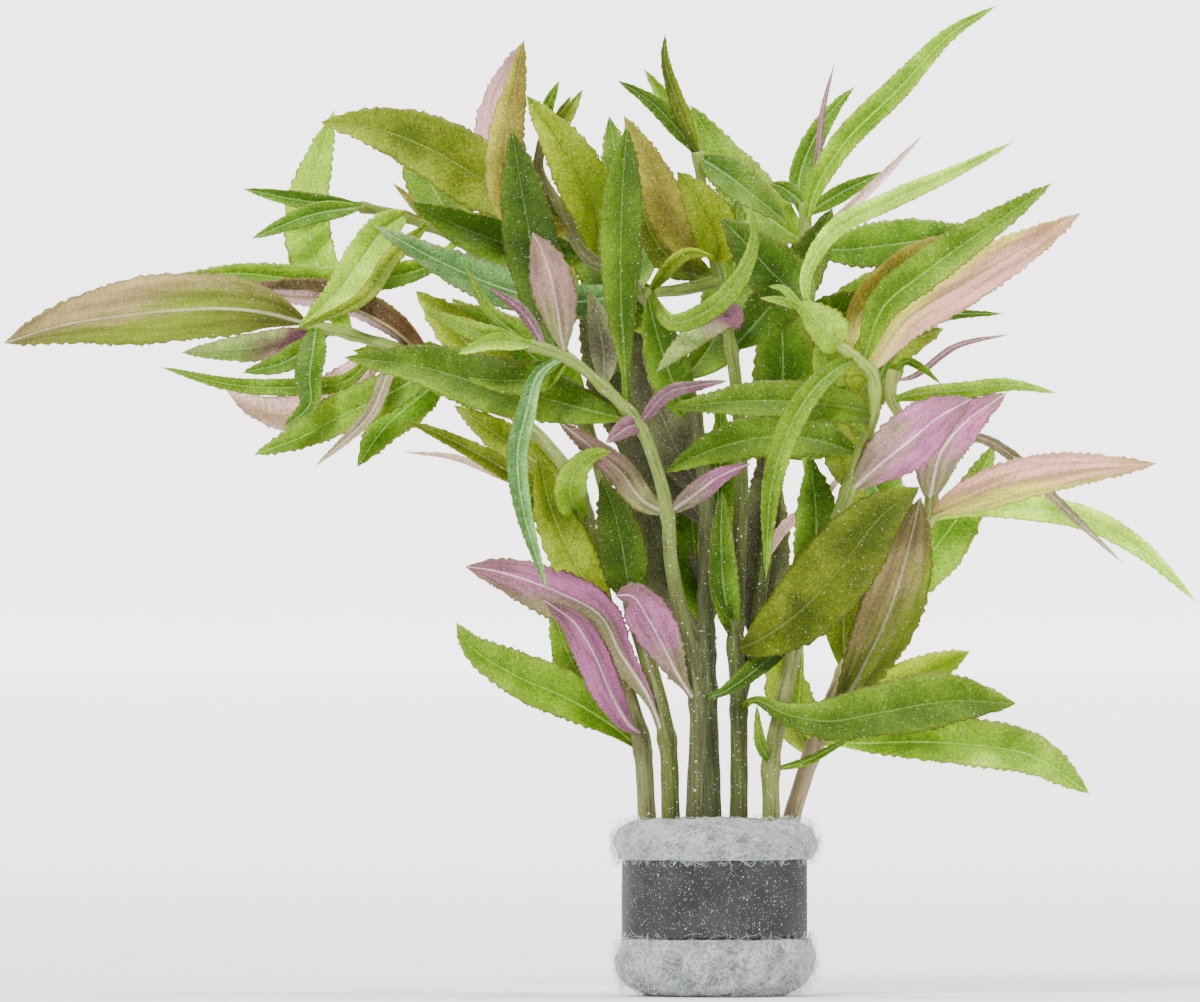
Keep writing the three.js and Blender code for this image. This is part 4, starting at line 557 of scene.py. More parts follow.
class Path:
    """A smooth curve through points, measured by its length."""

    SAMPLES = 160
    TANGENT_REACH = 0.004

    def __init__(self, points: tuple[Point, ...]) -> None:
        """Samples the curve.

        Args:
            points: what it passes through, in mm.
        """
        given = [Vector(p) for p in points]
        ends = [2 * given[0] - given[1], *given, 2 * given[-1] - given[-2]]
        self.places = [
            self._between(ends[i : i + 4], k / self.SAMPLES)
            for i in range(len(given) - 1)
            for k in range(self.SAMPLES)
        ]
        self.places.append(given[-1])
        self.reach = [0.0]
        for a, b in zip(self.places, self.places[1:]):
            self.reach.append(self.reach[-1] + (b - a).length)
        self.length = self.reach[-1]

    @staticmethod
    def _between(four: list[Vector], t: float) -> Vector:
        """Follows a centripetal curve from the second of four points to the third.

        Args:
            four: the points.
            t: how far, 0 to 1.

        Returns:
            The place.
        """
        a, b, c, d = four
        before, along, after = (max((q - p).length, 1e-4) ** 0.5 for p, q in ((a, b), (b, c), (c, d)))
        leave = ((b - a) / before - (c - a) / (before + along) + (c - b) / along) * along
        arrive = ((c - b) / along - (d - b) / (along + after) + (d - c) / after) * along
        bend = 3 * (c - b) - 2 * leave - arrive
        return b + leave * t + bend * t**2 + (2 * (b - c) + leave + arrive) * t**3

    def at(self, t: float) -> Vector:
        """Finds a place by its share of the length.

        Args:
            t: the share, 0 to 1.

        Returns:
            The place.
        """
        goal = min(max(t, 0.0), 1.0) * self.length
        low, high = 0, len(self.reach) - 1
        while high - low > 1:
            middle = (low + high) // 2
            if self.reach[middle] <= goal:
                low = middle
            else:
                high = middle
        step = self.reach[high] - self.reach[low]
        share = (goal - self.reach[low]) / step if step else 0.0
        return self.places[low].lerp(self.places[high], share)

    def tangent(self, t: float) -> Vector:
        """Gives the direction of travel at a share t of the length."""
        before, after = max(t - self.TANGENT_REACH, 0), min(t + self.TANGENT_REACH, 1)
        return (self.at(after) - self.at(before)).normalized()

    def nearest(self, place: Vector) -> float:
        """Gives the share of the length at which the curve is closest to a place."""
        best = min(range(len(self.places)), key=lambda i: (self.places[i] - place).length_squared)
        return self.reach[best] / self.length


@dataclass(frozen=True)
class Specks:
    """One size of the white specks that lie on the bunch.

    Attributes:
        cell: the distance between specks, in the unit of the coordinates that they lie in.
        share: the share of cells that hold one.
        size: the radius of the largest, as a share of a cell.
        strength: how strongly they show beside the larger ones.
    """

    cell: float
    share: float
    size: float
    strength: float = 1.0


# The large and the small specks. Those on leaves lie in the leaf's own map, in decimetres.
LEAF_SPECKS = (Specks(0.0150, 0.5, 0.085), Specks(0.0058, 0.42, 0.14, 0.55))
STEM_SPECKS = (Specks(0.0012, 0.75, 0.20), Specks(0.0005, 0.85, 0.28, 0.6))
LEAD_SPECKS = (Specks(0.0009, 0.75, 0.20), Specks(0.00038, 0.95, 0.40, 0.42))
WOOL_SPECKS = Specks(0.0006, 0.6, 0.24)
SPECK: Colour = (0.90, 0.92, 0.82)


class Nodes:
    """A node material that is being built."""

    def __init__(self, name: str) -> None:
        """Starts a material with its principled shader.

        Args:
            name: what it is called.
        """
        self.material = bpy.data.materials.new(name)
        self.material.use_nodes = True
        self.tree = self.material.node_tree
        self.shader = self.tree.nodes["Principled BSDF"]

    def add(self, kind: str, **settings: object) -> bpy.types.Node:
        """Adds a node.

        Args:
            kind: its type.
            **settings: its properties.

        Returns:
            The node.
        """
        node = self.tree.nodes.new(kind)
        for key, value in settings.items():
            setattr(node, key, value)
        return node

    def put(self, socket: Socket, value: object) -> None:
        """Fills one input.

        Args:
            socket: the input.
            value: a socket to link to it, or the number, vector or colour to set.
        """
        if isinstance(value, Socket):
            self.tree.links.new(value, socket)
        elif isinstance(value, tuple) and socket.type == "RGBA":
            socket.default_value = (*value, 1.0)
        else:
            socket.default_value = value

    def dress(self, **values: object) -> None:
        """Fills inputs of the shader.

        Args:
            **values: a socket, number, vector or colour for each, under its name with _ for a space.
        """
        for name, value in values.items():
            self.put(self.shader.inputs[name.replace("_", " ")], value)

    def math(self, operation: str, *values: object) -> Socket:
        """Adds an arithmetic node.

        Args:
            operation: what it does.
            *values: what it works on.

        Returns:
            Its result.
        """
        node = self.add("ShaderNodeMath", operation=operation)
        for socket, value in zip(node.inputs, values):
            self.put(socket, value)
        return node.outputs[0]

    def times(self, first: object, second: object) -> Socket:
        """Gives a product."""
        return self.math("MULTIPLY", first, second)

    def plus(self, first: object, second: object) -> Socket:
        """Gives a sum."""
        return self.math("ADD", first, second)

    def less(self, first: object, second: object) -> Socket:
        """Gives a difference."""
        return self.math("SUBTRACT", first, second)

    def scaled(self, value: object, factor: object, start: object) -> Socket:
        """Gives a value times a factor, on top of a start."""
        return self.math("MULTIPLY_ADD", value, factor, start)

    def mix(self, share: object, low: object, high: object, blend: str = "MIX") -> Socket:
        """Blends two colours.

        Args:
            share: how much of the second one shows.
            low: the first colour.
            high: the second colour.
            blend: how they blend.

        Returns:
            The blend.
        """
        node = self.add("ShaderNodeMix", data_type="RGBA", blend_type=blend, clamp_factor=True)
        self.put(node.inputs["Factor"], share)
        self.put(node.inputs["A"], low)
        self.put(node.inputs["B"], high)
        return node.outputs["Result"]

    def over(self, under: object, colour: object, mask: object, amount: float) -> Socket:
        """Lays a colour over another where a mask is, up to an amount."""
        return self.mix(self.times(mask, amount), under, colour)

    def step(self, value: object, low: float, high: float) -> Socket:
        """Turns a value into a soft mask.

        Args:
            value: what decides.
            low: where the mask is 0.
            high: where it is 1. It may be below low: then the mask falls as the value rises.

        Returns:
            The mask.
        """
        node = self.add("ShaderNodeMapRange", interpolation_type="SMOOTHSTEP")
        falls = low > high
        self.put(node.inputs["Value"], value)
        self.put(node.inputs["From Min"], min(low, high))
        self.put(node.inputs["From Max"], max(low, high))
        self.put(node.inputs["To Min"], 1.0 if falls else 0.0)
        self.put(node.inputs["To Max"], 0.0 if falls else 1.0)
        return node.outputs["Result"]

    def noise(self, where: object, scale: float, detail: float, rough: float = 0.5) -> Socket:
        """Adds a noise pattern.

        Args:
            where: the coordinates.
            scale: how many of its lumps fit in one unit.
            detail: how many finer layers it has.
            rough: how strong each finer layer is.

        Returns:
            Its value, 0 to 1.
        """
        node = self.add("ShaderNodeTexNoise")
        for name, value in (("Vector", where), ("Scale", scale), ("Detail", detail), ("Roughness", rough)):
            self.put(node.inputs[name], value)
        return node.outputs["Fac"]

    def place(self) -> Socket:
        """Gives the object coordinates, in metres."""
        return self.add("ShaderNodeTexCoord").outputs["Object"]

    def split(self, vector: object) -> tuple[Socket, Socket, Socket]:
        """Takes a vector apart.

        Args:
            vector: the vector.

        Returns:
            Its three numbers.
        """
        parts = self.add("ShaderNodeSeparateXYZ")
        self.put(parts.inputs[0], vector)
        return tuple(parts.outputs)

    def join(self, first: object, second: object) -> Socket:
        """Makes flat coordinates.

        Args:
            first: the number across.
            second: the number along.

        Returns:
            The coordinates.
        """
        vector = self.add("ShaderNodeCombineXYZ")
        self.put(vector.inputs[0], first)
        self.put(vector.inputs[1], second)
        return vector.outputs[0]

    def map(self, layer: str) -> tuple[Socket, Socket]:
        """Gives the two coordinates of a UV map."""
        return self.split(self.add("ShaderNodeUVMap", uv_map=layer).outputs[0])[:2]

    def specks(self, where: object, kind: Specks, flat: bool = False) -> Socket:
        """Scatters small dots.

        Args:
            where: the coordinates.
            kind: the size and number of the dots.
            flat: True where the coordinates lie in the surface itself.

        Returns:
            A mask, 1 on the dots and 0 between them.
        """
        cells = self.add("ShaderNodeTexVoronoi", feature="F1", voronoi_dimensions="2D" if flat else "3D")
        self.put(cells.inputs["Vector"], where)
        self.put(cells.inputs["Scale"], 1.0 / kind.cell)
        self.put(cells.inputs["Randomness"], 1.0)
        chance = self.add("ShaderNodeSeparateColor")
        self.put(chance.inputs[0], cells.outputs["Color"])
        there = self.math("LESS_THAN", chance.outputs[0], kind.share)
        radius = self.scaled(chance.outputs[1], kind.size * 0.7, kind.size * 0.3)
        inside = self.step(self.math("DIVIDE", cells.outputs["Distance"], radius), 1.0, 0.5)
        return self.times(there, inside)

    def dust(self, where: object, kinds: tuple[Specks, Specks], flat: bool = False) -> Socket:
        """Scatters large and small dots together.

        Args:
            where: the coordinates.
            kinds: the large ones and the small ones.
            flat: True where the coordinates lie in the surface itself.

        Returns:
            Their mask.
        """
        large, small = (self.specks(where, kind, flat) for kind in kinds)
        return self.math("MAXIMUM", large, self.times(small, kinds[1].strength))

    def bump(self, height: object, strength: float, distance: float) -> None:
        """Raises the surface by a height map.

        Args:
            height: the map.
            strength: how much of it shows.
            distance: how high a value of 1 stands, in m.
        """
        node = self.add("ShaderNodeBump")
        self.put(node.inputs["Strength"], strength)
        self.put(node.inputs["Distance"], distance)
        self.put(node.inputs["Height"], height)
        self.dress(Normal=node.outputs[0])


@dataclass(frozen=True)
class Side:
    """What differs between the upper side of a leaf and its underside.

    Attributes:
        name: what its surfaces are called after.
        rib: half the midrib's width at the base, in mm.
        rib_gain: what that gains towards the tip, in mm.
        veins: how strongly the side veins show.
        vein_rise: how far they stand out. Below 0 they are sunk.
        ribs: how strongly the midrib shows.
        margins: how strongly the margin shows.
        grain: how strongly the fine grain shows.
        rough: the least roughness.
    """

    name: str
    rib: float
    rib_gain: float
    veins: float
    vein_rise: float
    ribs: float
    margins: float
    grain: float
    rough: float


UPPER = Side("upper", 0.25, -0.17, 0.10, -0.7, 0.5, 0.55, 2.1, 0.34)
UNDER = Side("under", 0.34, -0.24, 0.12, 0.8, 0.8, 0.5, 1.6, 0.45)


class LeafSkin:
    """The surface of one side of a kind of leaf, read from the leaf's own maps.

    The map `blade` runs across (0.5 on the midrib) and along the leaf. The map `size` holds the distances
    from the midrib and from the base, in decimetres. The attribute `tint` holds the leaf's brightness, its
    flush, a random number, and which half is flushed more: 0.5 for neither.
    """

    # Noises: scale, detail and roughness.
    PATCHES = (120.0, 2.5, 0.55)
    GRAIN = (2100.0, 4.0, 0.75)
    WOBBLE = (300.0, 1.0)
    STRIPES = (1.7, 2.0)
    WAVES = (1.9, 3.0, 0.6)
    # Side veins: how far apart they are and how steeply they lean, in mm.
    VEIN_SPACING = 2.1
    VEIN_SLANT = 1.15
    VEIN_CURVE = 0.86
    # Masks: where each starts and where it is full.
    VEIN_LINE = (0.80, 0.98)
    VEIN_END = (1.0, 0.7)
    RIB_LINE = (1.3, 0.5)
    RIB_SHADE = (4.0, 1.2)
    MARGIN_LINE = (0.84, 1.0)
    LIGHTER = (0.45, 1.15)
    # Painted sheen: where the upper side's spread is high, its colour is brightened as a highlight.
    PAINTED_SHEEN = (0.90, 1.45)
    TINGED = (1.15, 1.95)
    TINGE_CHANCE = (0.2, 0.95)
    PURPLE = (1.10, 0.75)
    FLUSHED = (1.15, 1.90)
    TIP_TINGED = (1.0, 1.3)
    BASE_TINGED = (0.45, 0.05)
    # Painted light and shade: the underside's streaks of brightness.
    PAINTED_LIGHT_WAVES = (0.32, 0.68)
    # How far the specks' pattern moves from leaf to leaf.
    SHIFT = (7.3, 3.1)

    def __init__(self, tone: Tone, side: Side) -> None:
        """Reads the leaf's maps and finds its veins, midrib and margin.

        Args:
            tone: the kind of leaf.
            side: which side of it.
        """
        self.tone, self.side, self.finish = tone, side, FINISHES[tone]
        made = self.made = Nodes(f"leaf_{tone.value}_{side.name}")
        self.across, self.along = made.map("blade")
        self.from_rib, self.from_base = made.map("size")
        marks = made.add("ShaderNodeAttribute", attribute_name="tint")
        tint = made.add("ShaderNodeSeparateColor")
        made.put(tint.inputs[0], marks.outputs["Color"])
        self.bright, self.flush, self.chance = tint.outputs
        self.half = marks.outputs["Alpha"]

        where = made.place()
        self.patches = made.noise(where, *self.PATCHES)
        self.fine = made.noise(where, *self.GRAIN)
        self.grain = made.less(self.fine, 0.5)
        self.centred = made.less(self.across, 0.5)
        self.off = made.math("ABSOLUTE", made.scaled(self.across, 2.0, -1.0))
        self.margin = made.step(self.off, *self.MARGIN_LINE)

        rib_mm = made.math("ABSOLUTE", made.times(made.less(self.from_rib, 0.5), DECIMETRE))
        from_rib = made.math("DIVIDE", rib_mm, made.scaled(self.along, side.rib_gain, side.rib))
        self.midrib = made.step(from_rib, *self.RIB_LINE)
        # A band beside the midrib, for the painted shade of its groove.
        self.beside = made.step(from_rib, *self.RIB_SHADE)

        lean = made.times(made.math("POWER", rib_mm, self.VEIN_CURVE), self.VEIN_SLANT)
        wobble = made.times(made.noise(where, *self.WOBBLE), 2.0)
        climb = made.plus(made.less(made.times(self.from_base, DECIMETRE), lean), wobble)
        turn = made.math("FRACT", made.math("DIVIDE", climb, self.VEIN_SPACING))
        saw = made.math("ABSOLUTE", made.scaled(turn, 2.0, -1.0))
        self.side_vein = made.times(made.step(saw, *self.VEIN_LINE), made.step(self.off, *self.VEIN_END))

    def material(self) -> Material:
        """Builds the surface.

        Returns:
            The material, one for each tone and side.
        """
        made, side = self.made, self.side
        # Painted light: the glow is the painted sheen of the upper side and the painted streaks of light
        # and shade of the underside. With the grain and the leaf's brightness it lightens and darkens the
        # colour.
        colour, glow = self._upper() if side is UPPER else self._under()
        mottle_and_painted_light = made.times(made.scaled(self.grain, side.grain, 1.0), glow)
        shade = made.times(made.times(mottle_and_painted_light, self.bright), FULL_TINT)
        grey = made.add("ShaderNodeCombineColor")
        for socket in grey.inputs[:3]:
            made.put(socket, shade)
        colour = made.mix(1.0, colour, grey.outputs[0], "MULTIPLY")
        across = made.scaled(self.chance, self.SHIFT[0], self.from_rib)
        along = made.scaled(self.chance, self.SHIFT[1], self.from_base)
        dots = made.dust(made.join(across, along), LEAF_SPECKS, flat=True)
        made.dress(
            Base_Color=made.over(colour, SPECK, dots, 0.8),
            Roughness=made.scaled(self.fine, 0.3, side.rough),
            Specular_IOR_Level=0.12,
            Subsurface_Weight=0.15,
            Subsurface_Radius=(0.8, 1.0, 0.2),
            Subsurface_Scale=0.0008,
        )
        rise = made.plus(made.times(self.fine, 1.1), made.times(self.side_vein, side.vein_rise))
        made.bump(made.plus(rise, made.times(dots, 0.8)), 0.9, 0.00012)
        return made.material

    def _upper(self) -> tuple[Socket, Socket]:
        """Colours the upper side, with lighter patches, one half painted lighter as if lit, and tinged
        tips.

        Returns:
            The colour, and the brightness of its painted sheen.
        """
        made, finish = self.made, self.finish
        spread = made.scaled(self.grain, 0.6, made.times(self.patches, 1.6))
        spread = made.scaled(made.less(self.off, 0.5), 0.25, spread)
        # Painted light: on some leaves one half of the upper side is painted lighter, as if lit, and the
        # other half darker.
        painted_lit_half = made.times(self.centred, made.less(self.chance, 0.5))
        spread = made.scaled(painted_lit_half, 1.4, spread)
        colour = made.mix(made.step(spread, *self.LIGHTER), finish.face, finish.light)
        # Painted shade: beside the midrib, in its groove, the colour turns back towards the darker face
        # colour.
        colour = made.over(colour, finish.face, self.beside, 0.25)
        colour = made.over(colour, finish.vein, self.side_vein, self.side.veins)
        colour = made.over(colour, finish.vein, self.midrib, self.side.ribs)
        if self.tone is Tone.PALE_PURPLE:
            reach = made.scaled(self.patches, 0.9, self.along)
            colour = made.mix(made.step(reach, *self.PURPLE), colour, finish.flush)
        tip = made.scaled(self.along, 0.7, made.scaled(self.off, 0.6, self.patches))
        tinge = made.times(made.step(tip, *self.TINGED), made.step(self.chance, *self.TINGE_CHANCE))
        colour = made.over(colour, finish.edge, tinge, 0.7)
        colour = made.over(colour, finish.edge, self.margin, self.side.margins)
        # The painted sheen brightens the colour as a highlight.
        return colour, made.scaled(made.step(spread, *self.PAINTED_SHEEN), 0.55, 0.97)

    def _under(self) -> tuple[Socket, Socket]:
        """Colours the underside, flushed in streaks and more so on one half, with painted streaks of light
        and shade.

        Returns:
            The colour, and the brightness of its painted streaks of light and shade.
        """
        made, finish = self.made, self.finish
        stripe = made.join(made.times(self.across, 4.0), made.scaled(self.chance, 9.0, self.along))
        half = made.times(self.centred, made.less(self.half, 0.5))
        spread = made.scaled(self.flush, 1.3, made.times(self.patches, 0.8))
        spread = made.scaled(made.noise(stripe, *self.STRIPES), 1.2, spread)
        spread = made.scaled(half, 3.0, spread)
        spread = made.scaled(self.grain, 0.7, spread)
        spread = made.scaled(made.less(self.along, 0.48), 1.5, spread)
        colour = made.mix(made.step(spread, *self.FLUSHED), finish.back, finish.flush)
        colour = made.over(colour, finish.vein, self.side_vein, self.side.veins)
        if self.tone in (Tone.OLIVE_UNDER, Tone.BRONZE):
            colour = made.over(colour, finish.edge, made.step(self.along, *self.BASE_TINGED), 0.6)
        tip = made.scaled(self.patches, 0.5, made.scaled(self.off, 0.12, self.along))
        colour = made.over(colour, finish.edge, made.step(tip, *self.TIP_TINGED), 0.6)
        colour = made.over(colour, finish.vein, self.midrib, self.side.ribs)
        colour = made.over(colour, finish.edge, self.margin, self.side.margins)
        # Painted light and shade: streaks that brighten and darken the underside along the leaf.
        down = made.scaled(self.chance, 5.0, made.times(self.along, 1.6))
        waves = made.noise(made.join(made.times(self.across, 3.0), down), *self.WAVES)
        return colour, made.scaled(made.step(waves, *self.PAINTED_LIGHT_WAVES), 0.62, 0.70)


class Wardrobe:
    """Builds each surface once and hands it out."""

    def __init__(self) -> None:
        """Starts with nothing built."""
        self._skins: dict[tuple[Tone, Side], Material] = {}

    def pair(self, tone: Tone) -> list[Material]:
        """Gives the surfaces of both sides of a kind of leaf.

        Args:
            tone: the kind.

        Returns:
            The upper side's and the underside's.
        """
        for side in (UPPER, UNDER):
            if (tone, side) not in self._skins:
                self._skins[tone, side] = LeafSkin(tone, side).material()
        return [self._skins[tone, side] for side in (UPPER, UNDER)]


# The tint of a stem, which has no brightness or flush of its own.
PLAIN_TINT = (0.5, 0.0, 0.5, 1.0)


def new_shell() -> Shell:
    """Starts a mesh with the maps that the surfaces of leaves and stems read.

    Returns:
        The empty mesh.
    """
    shell = bmesh.new()
    shell.loops.layers.uv.new("blade")
    shell.loops.layers.uv.new("size")
    shell.loops.layers.float_color.new("tint")
    return shell


def add_grid(shell: Shell, columns: int, rows: int) -> dict[Vert, tuple[int, int]]:
    """Adds a flat grid to a mesh, to be bent into shape.

    Args:
        shell: the mesh.
        columns: how many faces the grid has across.
        rows: how many it has along.

    Returns:
        The grid's vertices, each with its column and row.
    """
    made = bmesh.ops.create_grid(shell, x_segments=columns, y_segments=rows, size=1.0)["verts"]
    return {v: (round((v.co.x + 1) / 2 * columns), round((v.co.y + 1) / 2 * rows)) for v in made}


def smooth(faces: Iterable[Face]) -> None:
    """Shades faces smooth."""
    for face in faces:
        face.smooth = True


def add_object(name: str, data: bpy.types.ID) -> Piece:
    """Puts an object into the scene.

    Args:
        name: what it is called.
        data: its mesh, light or camera.

    Returns:
        The object.
    """
    thing = bpy.data.objects.new(name, data)
    bpy.context.scene.collection.objects.link(thing)
    return thing


def add_mesh(shell: Shell, name: str, materials: list[Material]) -> Piece:
    """Puts a finished mesh into the scene.

    Args:
        shell: the mesh, in metres.
        name: what the object is called.
        materials: its surfaces, in the order of its slots.

    Returns:
        The object.
    """
    mesh = bpy.data.meshes.new(name)
    shell.to_mesh(mesh)
    shell.free()
    for material in materials:
        mesh.materials.append(material)
    return add_object(name, mesh)


def finish_piece(shell: Shell, name: str, materials: list[Material], node: str) -> Piece:
    """Turns a mesh into a piece of the model.

    Args:
        shell: the finished mesh, in metres.
        name: the piece's name.
        materials: its surfaces, in the order of its slots.
        node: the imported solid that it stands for.

    Returns:
        The object, which rides on the model's one body.
    """
    piece = add_mesh(shell, name, materials)
    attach(piece, "root")
    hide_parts(node)
    log.info("%s: %d faces", name, len(piece.data.polygons))
    return piece


@dataclass
class Blade:
    """Models one leaf as a thin closed body with toothed margins. Lengths are in mm.

    Attributes:
        leaf: what it looks like and where it grows.
        rng: the source of its small irregularities.
        columns: where the columns of one half stand, 0 on the midrib and 1 on the margin.
        fullness: how blunt its outline is. The less, the blunter.
        petiole: half its width at the base.
        pitches: the distance between teeth, from small leaves to large ones.
        full_width: the width from which a leaf's teeth have their full depth.
        toothed_from: how far out the teeth start to move the columns.
        bowl: how the two halves curve up, 1 being straight.
    """

    leaf: Leaf
    rng: random.Random
    row_step: float = 0.3
    columns: tuple[float, ...] = (0.0, 0.07, 0.2, 0.42, 0.66, 0.86, 1.0)
    least_rows: int = 14
    fullness: float = 0.85
    petiole: float = 0.75
    tip: float = 0.06
    pitches: tuple[float, float] = (1.3, 3.3)
    tooth_depth: float = 0.9
    full_width: float = 7.5
    tooth_rise: float = 0.82
    tooth_fall: float = 0.18
    toothed_from: float = 0.66
    skin_depth: float = 0.17
    rib_depth: float = 0.42
    rib_spread: float = 0.35
    bowl: float = 1.15

    def __post_init__(self) -> None:
        """Finds the midrib and the places of rows and columns."""
        self.path = Path(self.leaf.midrib)
        self.rows = max(self.least_rows, round(self.path.length / self.row_step))
        self.spread = [-c for c in reversed(self.columns[1:])] + list(self.columns)

    def half_width(self, t: float) -> float:
        """Finds the distance from midrib to margin, without teeth.

        Args:
            t: how far along the leaf, 0 to 1.

        Returns:
            The distance, in mm.
        """
        power = math.log(0.5) / math.log(self.leaf.belly)
        bulge = math.sin(math.pi * t**power) if 0 < t < 1 else 0.0
        least = min(self.petiole, self.leaf.width / 4) * (1 - t) + self.tip * t
        return max(self.leaf.width / 2 * bulge**self.fullness, least)

    def tooth(self, travel: float, t: float) -> float:
        """Finds how far a forward-leaning tooth stands out.

        Args:
            travel: the distance along the margin, in mm.
            t: how far along the leaf, 0 to 1. Its base and tip have no teeth.

        Returns:
            The distance, in mm.
        """
        pitch = min(self.pitches[1], max(self.pitches[0], 0.22 * self.leaf.width + 0.4))
        travel += 0.3 * pitch * math.sin(travel / pitch * 1.9)
        count, share = divmod(travel / pitch, 1.0)
        rise = share / self.tooth_rise if share < self.tooth_rise else (1.0 - share) / self.tooth_fall
        where = min(1.0, max(0.0, (t - 0.12) / 0.15)) * min(1.0, max(0.0, (0.985 - t) / 0.05))
        depth = self.tooth_depth * min(1.0, self.leaf.width / self.full_width)
        return depth * (1 + 0.3 * math.sin(count * 2.7)) * (rise - 0.5) * where

    def build(self, shell: Shell, first_slot: int, tint: tuple[float, float, float]) -> None:
        """Adds the leaf to a mesh.

        Args:
            shell: the mesh under way, in metres.
            first_slot: the slot of its upper side. Its underside takes the next one.
            tint: the leaf's brightness, 1 being plain, its share of flush, and which half has more of it.
        """
        seats = add_grid(shell, len(self.spread) - 1, self.rows)
        upper = {face for vert in seats for face in vert.link_faces}
        smooth(upper)
        self._mark(shell, upper, seats, tint)
        copy = bmesh.ops.duplicate(shell, geom=[*seats, *upper])
        under = [g for g in copy["geom"] if isinstance(g, Face)]
        twins = copy["vert_map"]
        bmesh.ops.reverse_faces(shell, faces=under)
        frames = [self._frame(row / self.rows) for row in range(self.rows + 1)]
        wave = self._wave()
        margin: list[Vert] = []
        for vert, (column, row) in seats.items():
            t, u = row / self.rows, self.spread[column]
            place, side, face = frames[row]
            out, lift, top, bottom = self._section(t, u, wave(u, t))
            if abs(u) == 1.0 or row in (0, self.rows):
                top = bottom = lift
                margin += [vert, twins[vert]]
            vert.co = (place + side * out + face * top) * MM
            twins[vert].co = (place + side * out + face * bottom) * MM
        bmesh.ops.remove_doubles(shell, verts=margin, dist=MERGED)
        for faces, slot in ((upper, first_slot), (under, first_slot + 1)):
            for face in faces:
                face.material_index = slot

    def _section(self, t: float, u: float, ripple: float) -> tuple[float, float, float, float]:
        """Finds a place in the leaf's cross-section.

        Args:
            t: how far along the leaf, 0 to 1.
            u: how far out, 0 on the midrib and -1 or 1 on the margins.
            ripple: how far the half ripples up there, as a share of its width.

        Returns:
            How far out it lies, and the heights of the blade's middle, upper side and underside, in mm.
        """
        half = self.half_width(t)
        stretch, start = (1.0, 0.6) if u > 0 else (1.04, 0.0)
        teeth = self.tooth(self.path.length * t * stretch + start, t)
        reach = max(0.0, (abs(u) - self.toothed_from) / (1 - self.toothed_from))
        out = u * half + math.copysign(teeth * reach, u)
        lift = abs(u) ** self.bowl * half * math.tan(math.radians(self.leaf.fold)) + ripple * half
        rib = math.exp(-((u * half / self.rib_spread) ** 2))
        thin = (1.0 - abs(u) ** 6) * (1.0 - t * 0.45)
        top = lift + self.skin_depth * thin * (1 - 0.9 * rib)
        below = self.rib_depth * rib * (1 - t) ** 0.7 * min(1.0, half / 1.2)
        bottom = lift - self.skin_depth * thin - below
        return out, lift, top, bottom

    def _mark(self, shell: Shell, upper: set[Face], seats: dict[Vert, tuple[int, int]],
              tint: tuple[float, float, float]) -> None:
        """Writes the leaf's maps and tint on the faces of its upper side, before they are copied.

        Args:
            shell: the mesh under way.
            upper: the faces.
            seats: the column and row of each vertex.
            tint: its brightness, its share of flush, and which half has more of it.
        """
        blade = shell.loops.layers.uv["blade"]
        size = shell.loops.layers.uv["size"]
        mark = shell.loops.layers.float_color["tint"]
        chance = self.rng.random()
        for face in upper:
            for loop in face.loops:
                column, row = seats[loop.vert]
                t, u = row / self.rows, self.spread[column]
                loop[blade].uv = ((u + 1) / 2, t)
                loop[size].uv = (0.5 + u * self.half_width(t) / DECIMETRE, t * self.path.length / DECIMETRE)
                loop[mark] = (tint[0] / FULL_TINT, tint[1], chance, tint[2])

    def _frame(self, t: float) -> tuple[Vector, Vector, Vector]:
        """Finds how the leaf lies at a place along it.

        Args:
            t: how far along the leaf, 0 to 1.

        Returns:
            The place on the midrib, the direction across the blade and the one its upper side faces.
        """
        tangent = self.path.tangent(t)
        facing = (FRONT - tangent * FRONT.dot(tangent)).normalized()
        turn = self.leaf.roll[0] * (1 - t) + self.leaf.roll[1] * t
        facing = Quaternion(tangent, math.radians(turn)) @ facing
        return self.path.at(t), tangent.cross(facing), facing

    def _wave(self) -> Callable[[float, float], float]:
        """Makes the ripple of the two halves.

        Returns:
            A function that gives it, as a share of the half width, at a place across and along the leaf.
        """
        count = self.rng.uniform(1.6, 3.2)
        starts = self.rng.uniform(0, math.tau), self.rng.uniform(0, math.tau)
        deep = self.rng.uniform(0.05, 0.12)

        def wave(u: float, t: float) -> float:
            """Gives the ripple at a place on the blade."""
            return deep * abs(u) ** 1.6 * math.sin(math.tau * count * t + starts[0 if u > 0 else 1])

        return wave


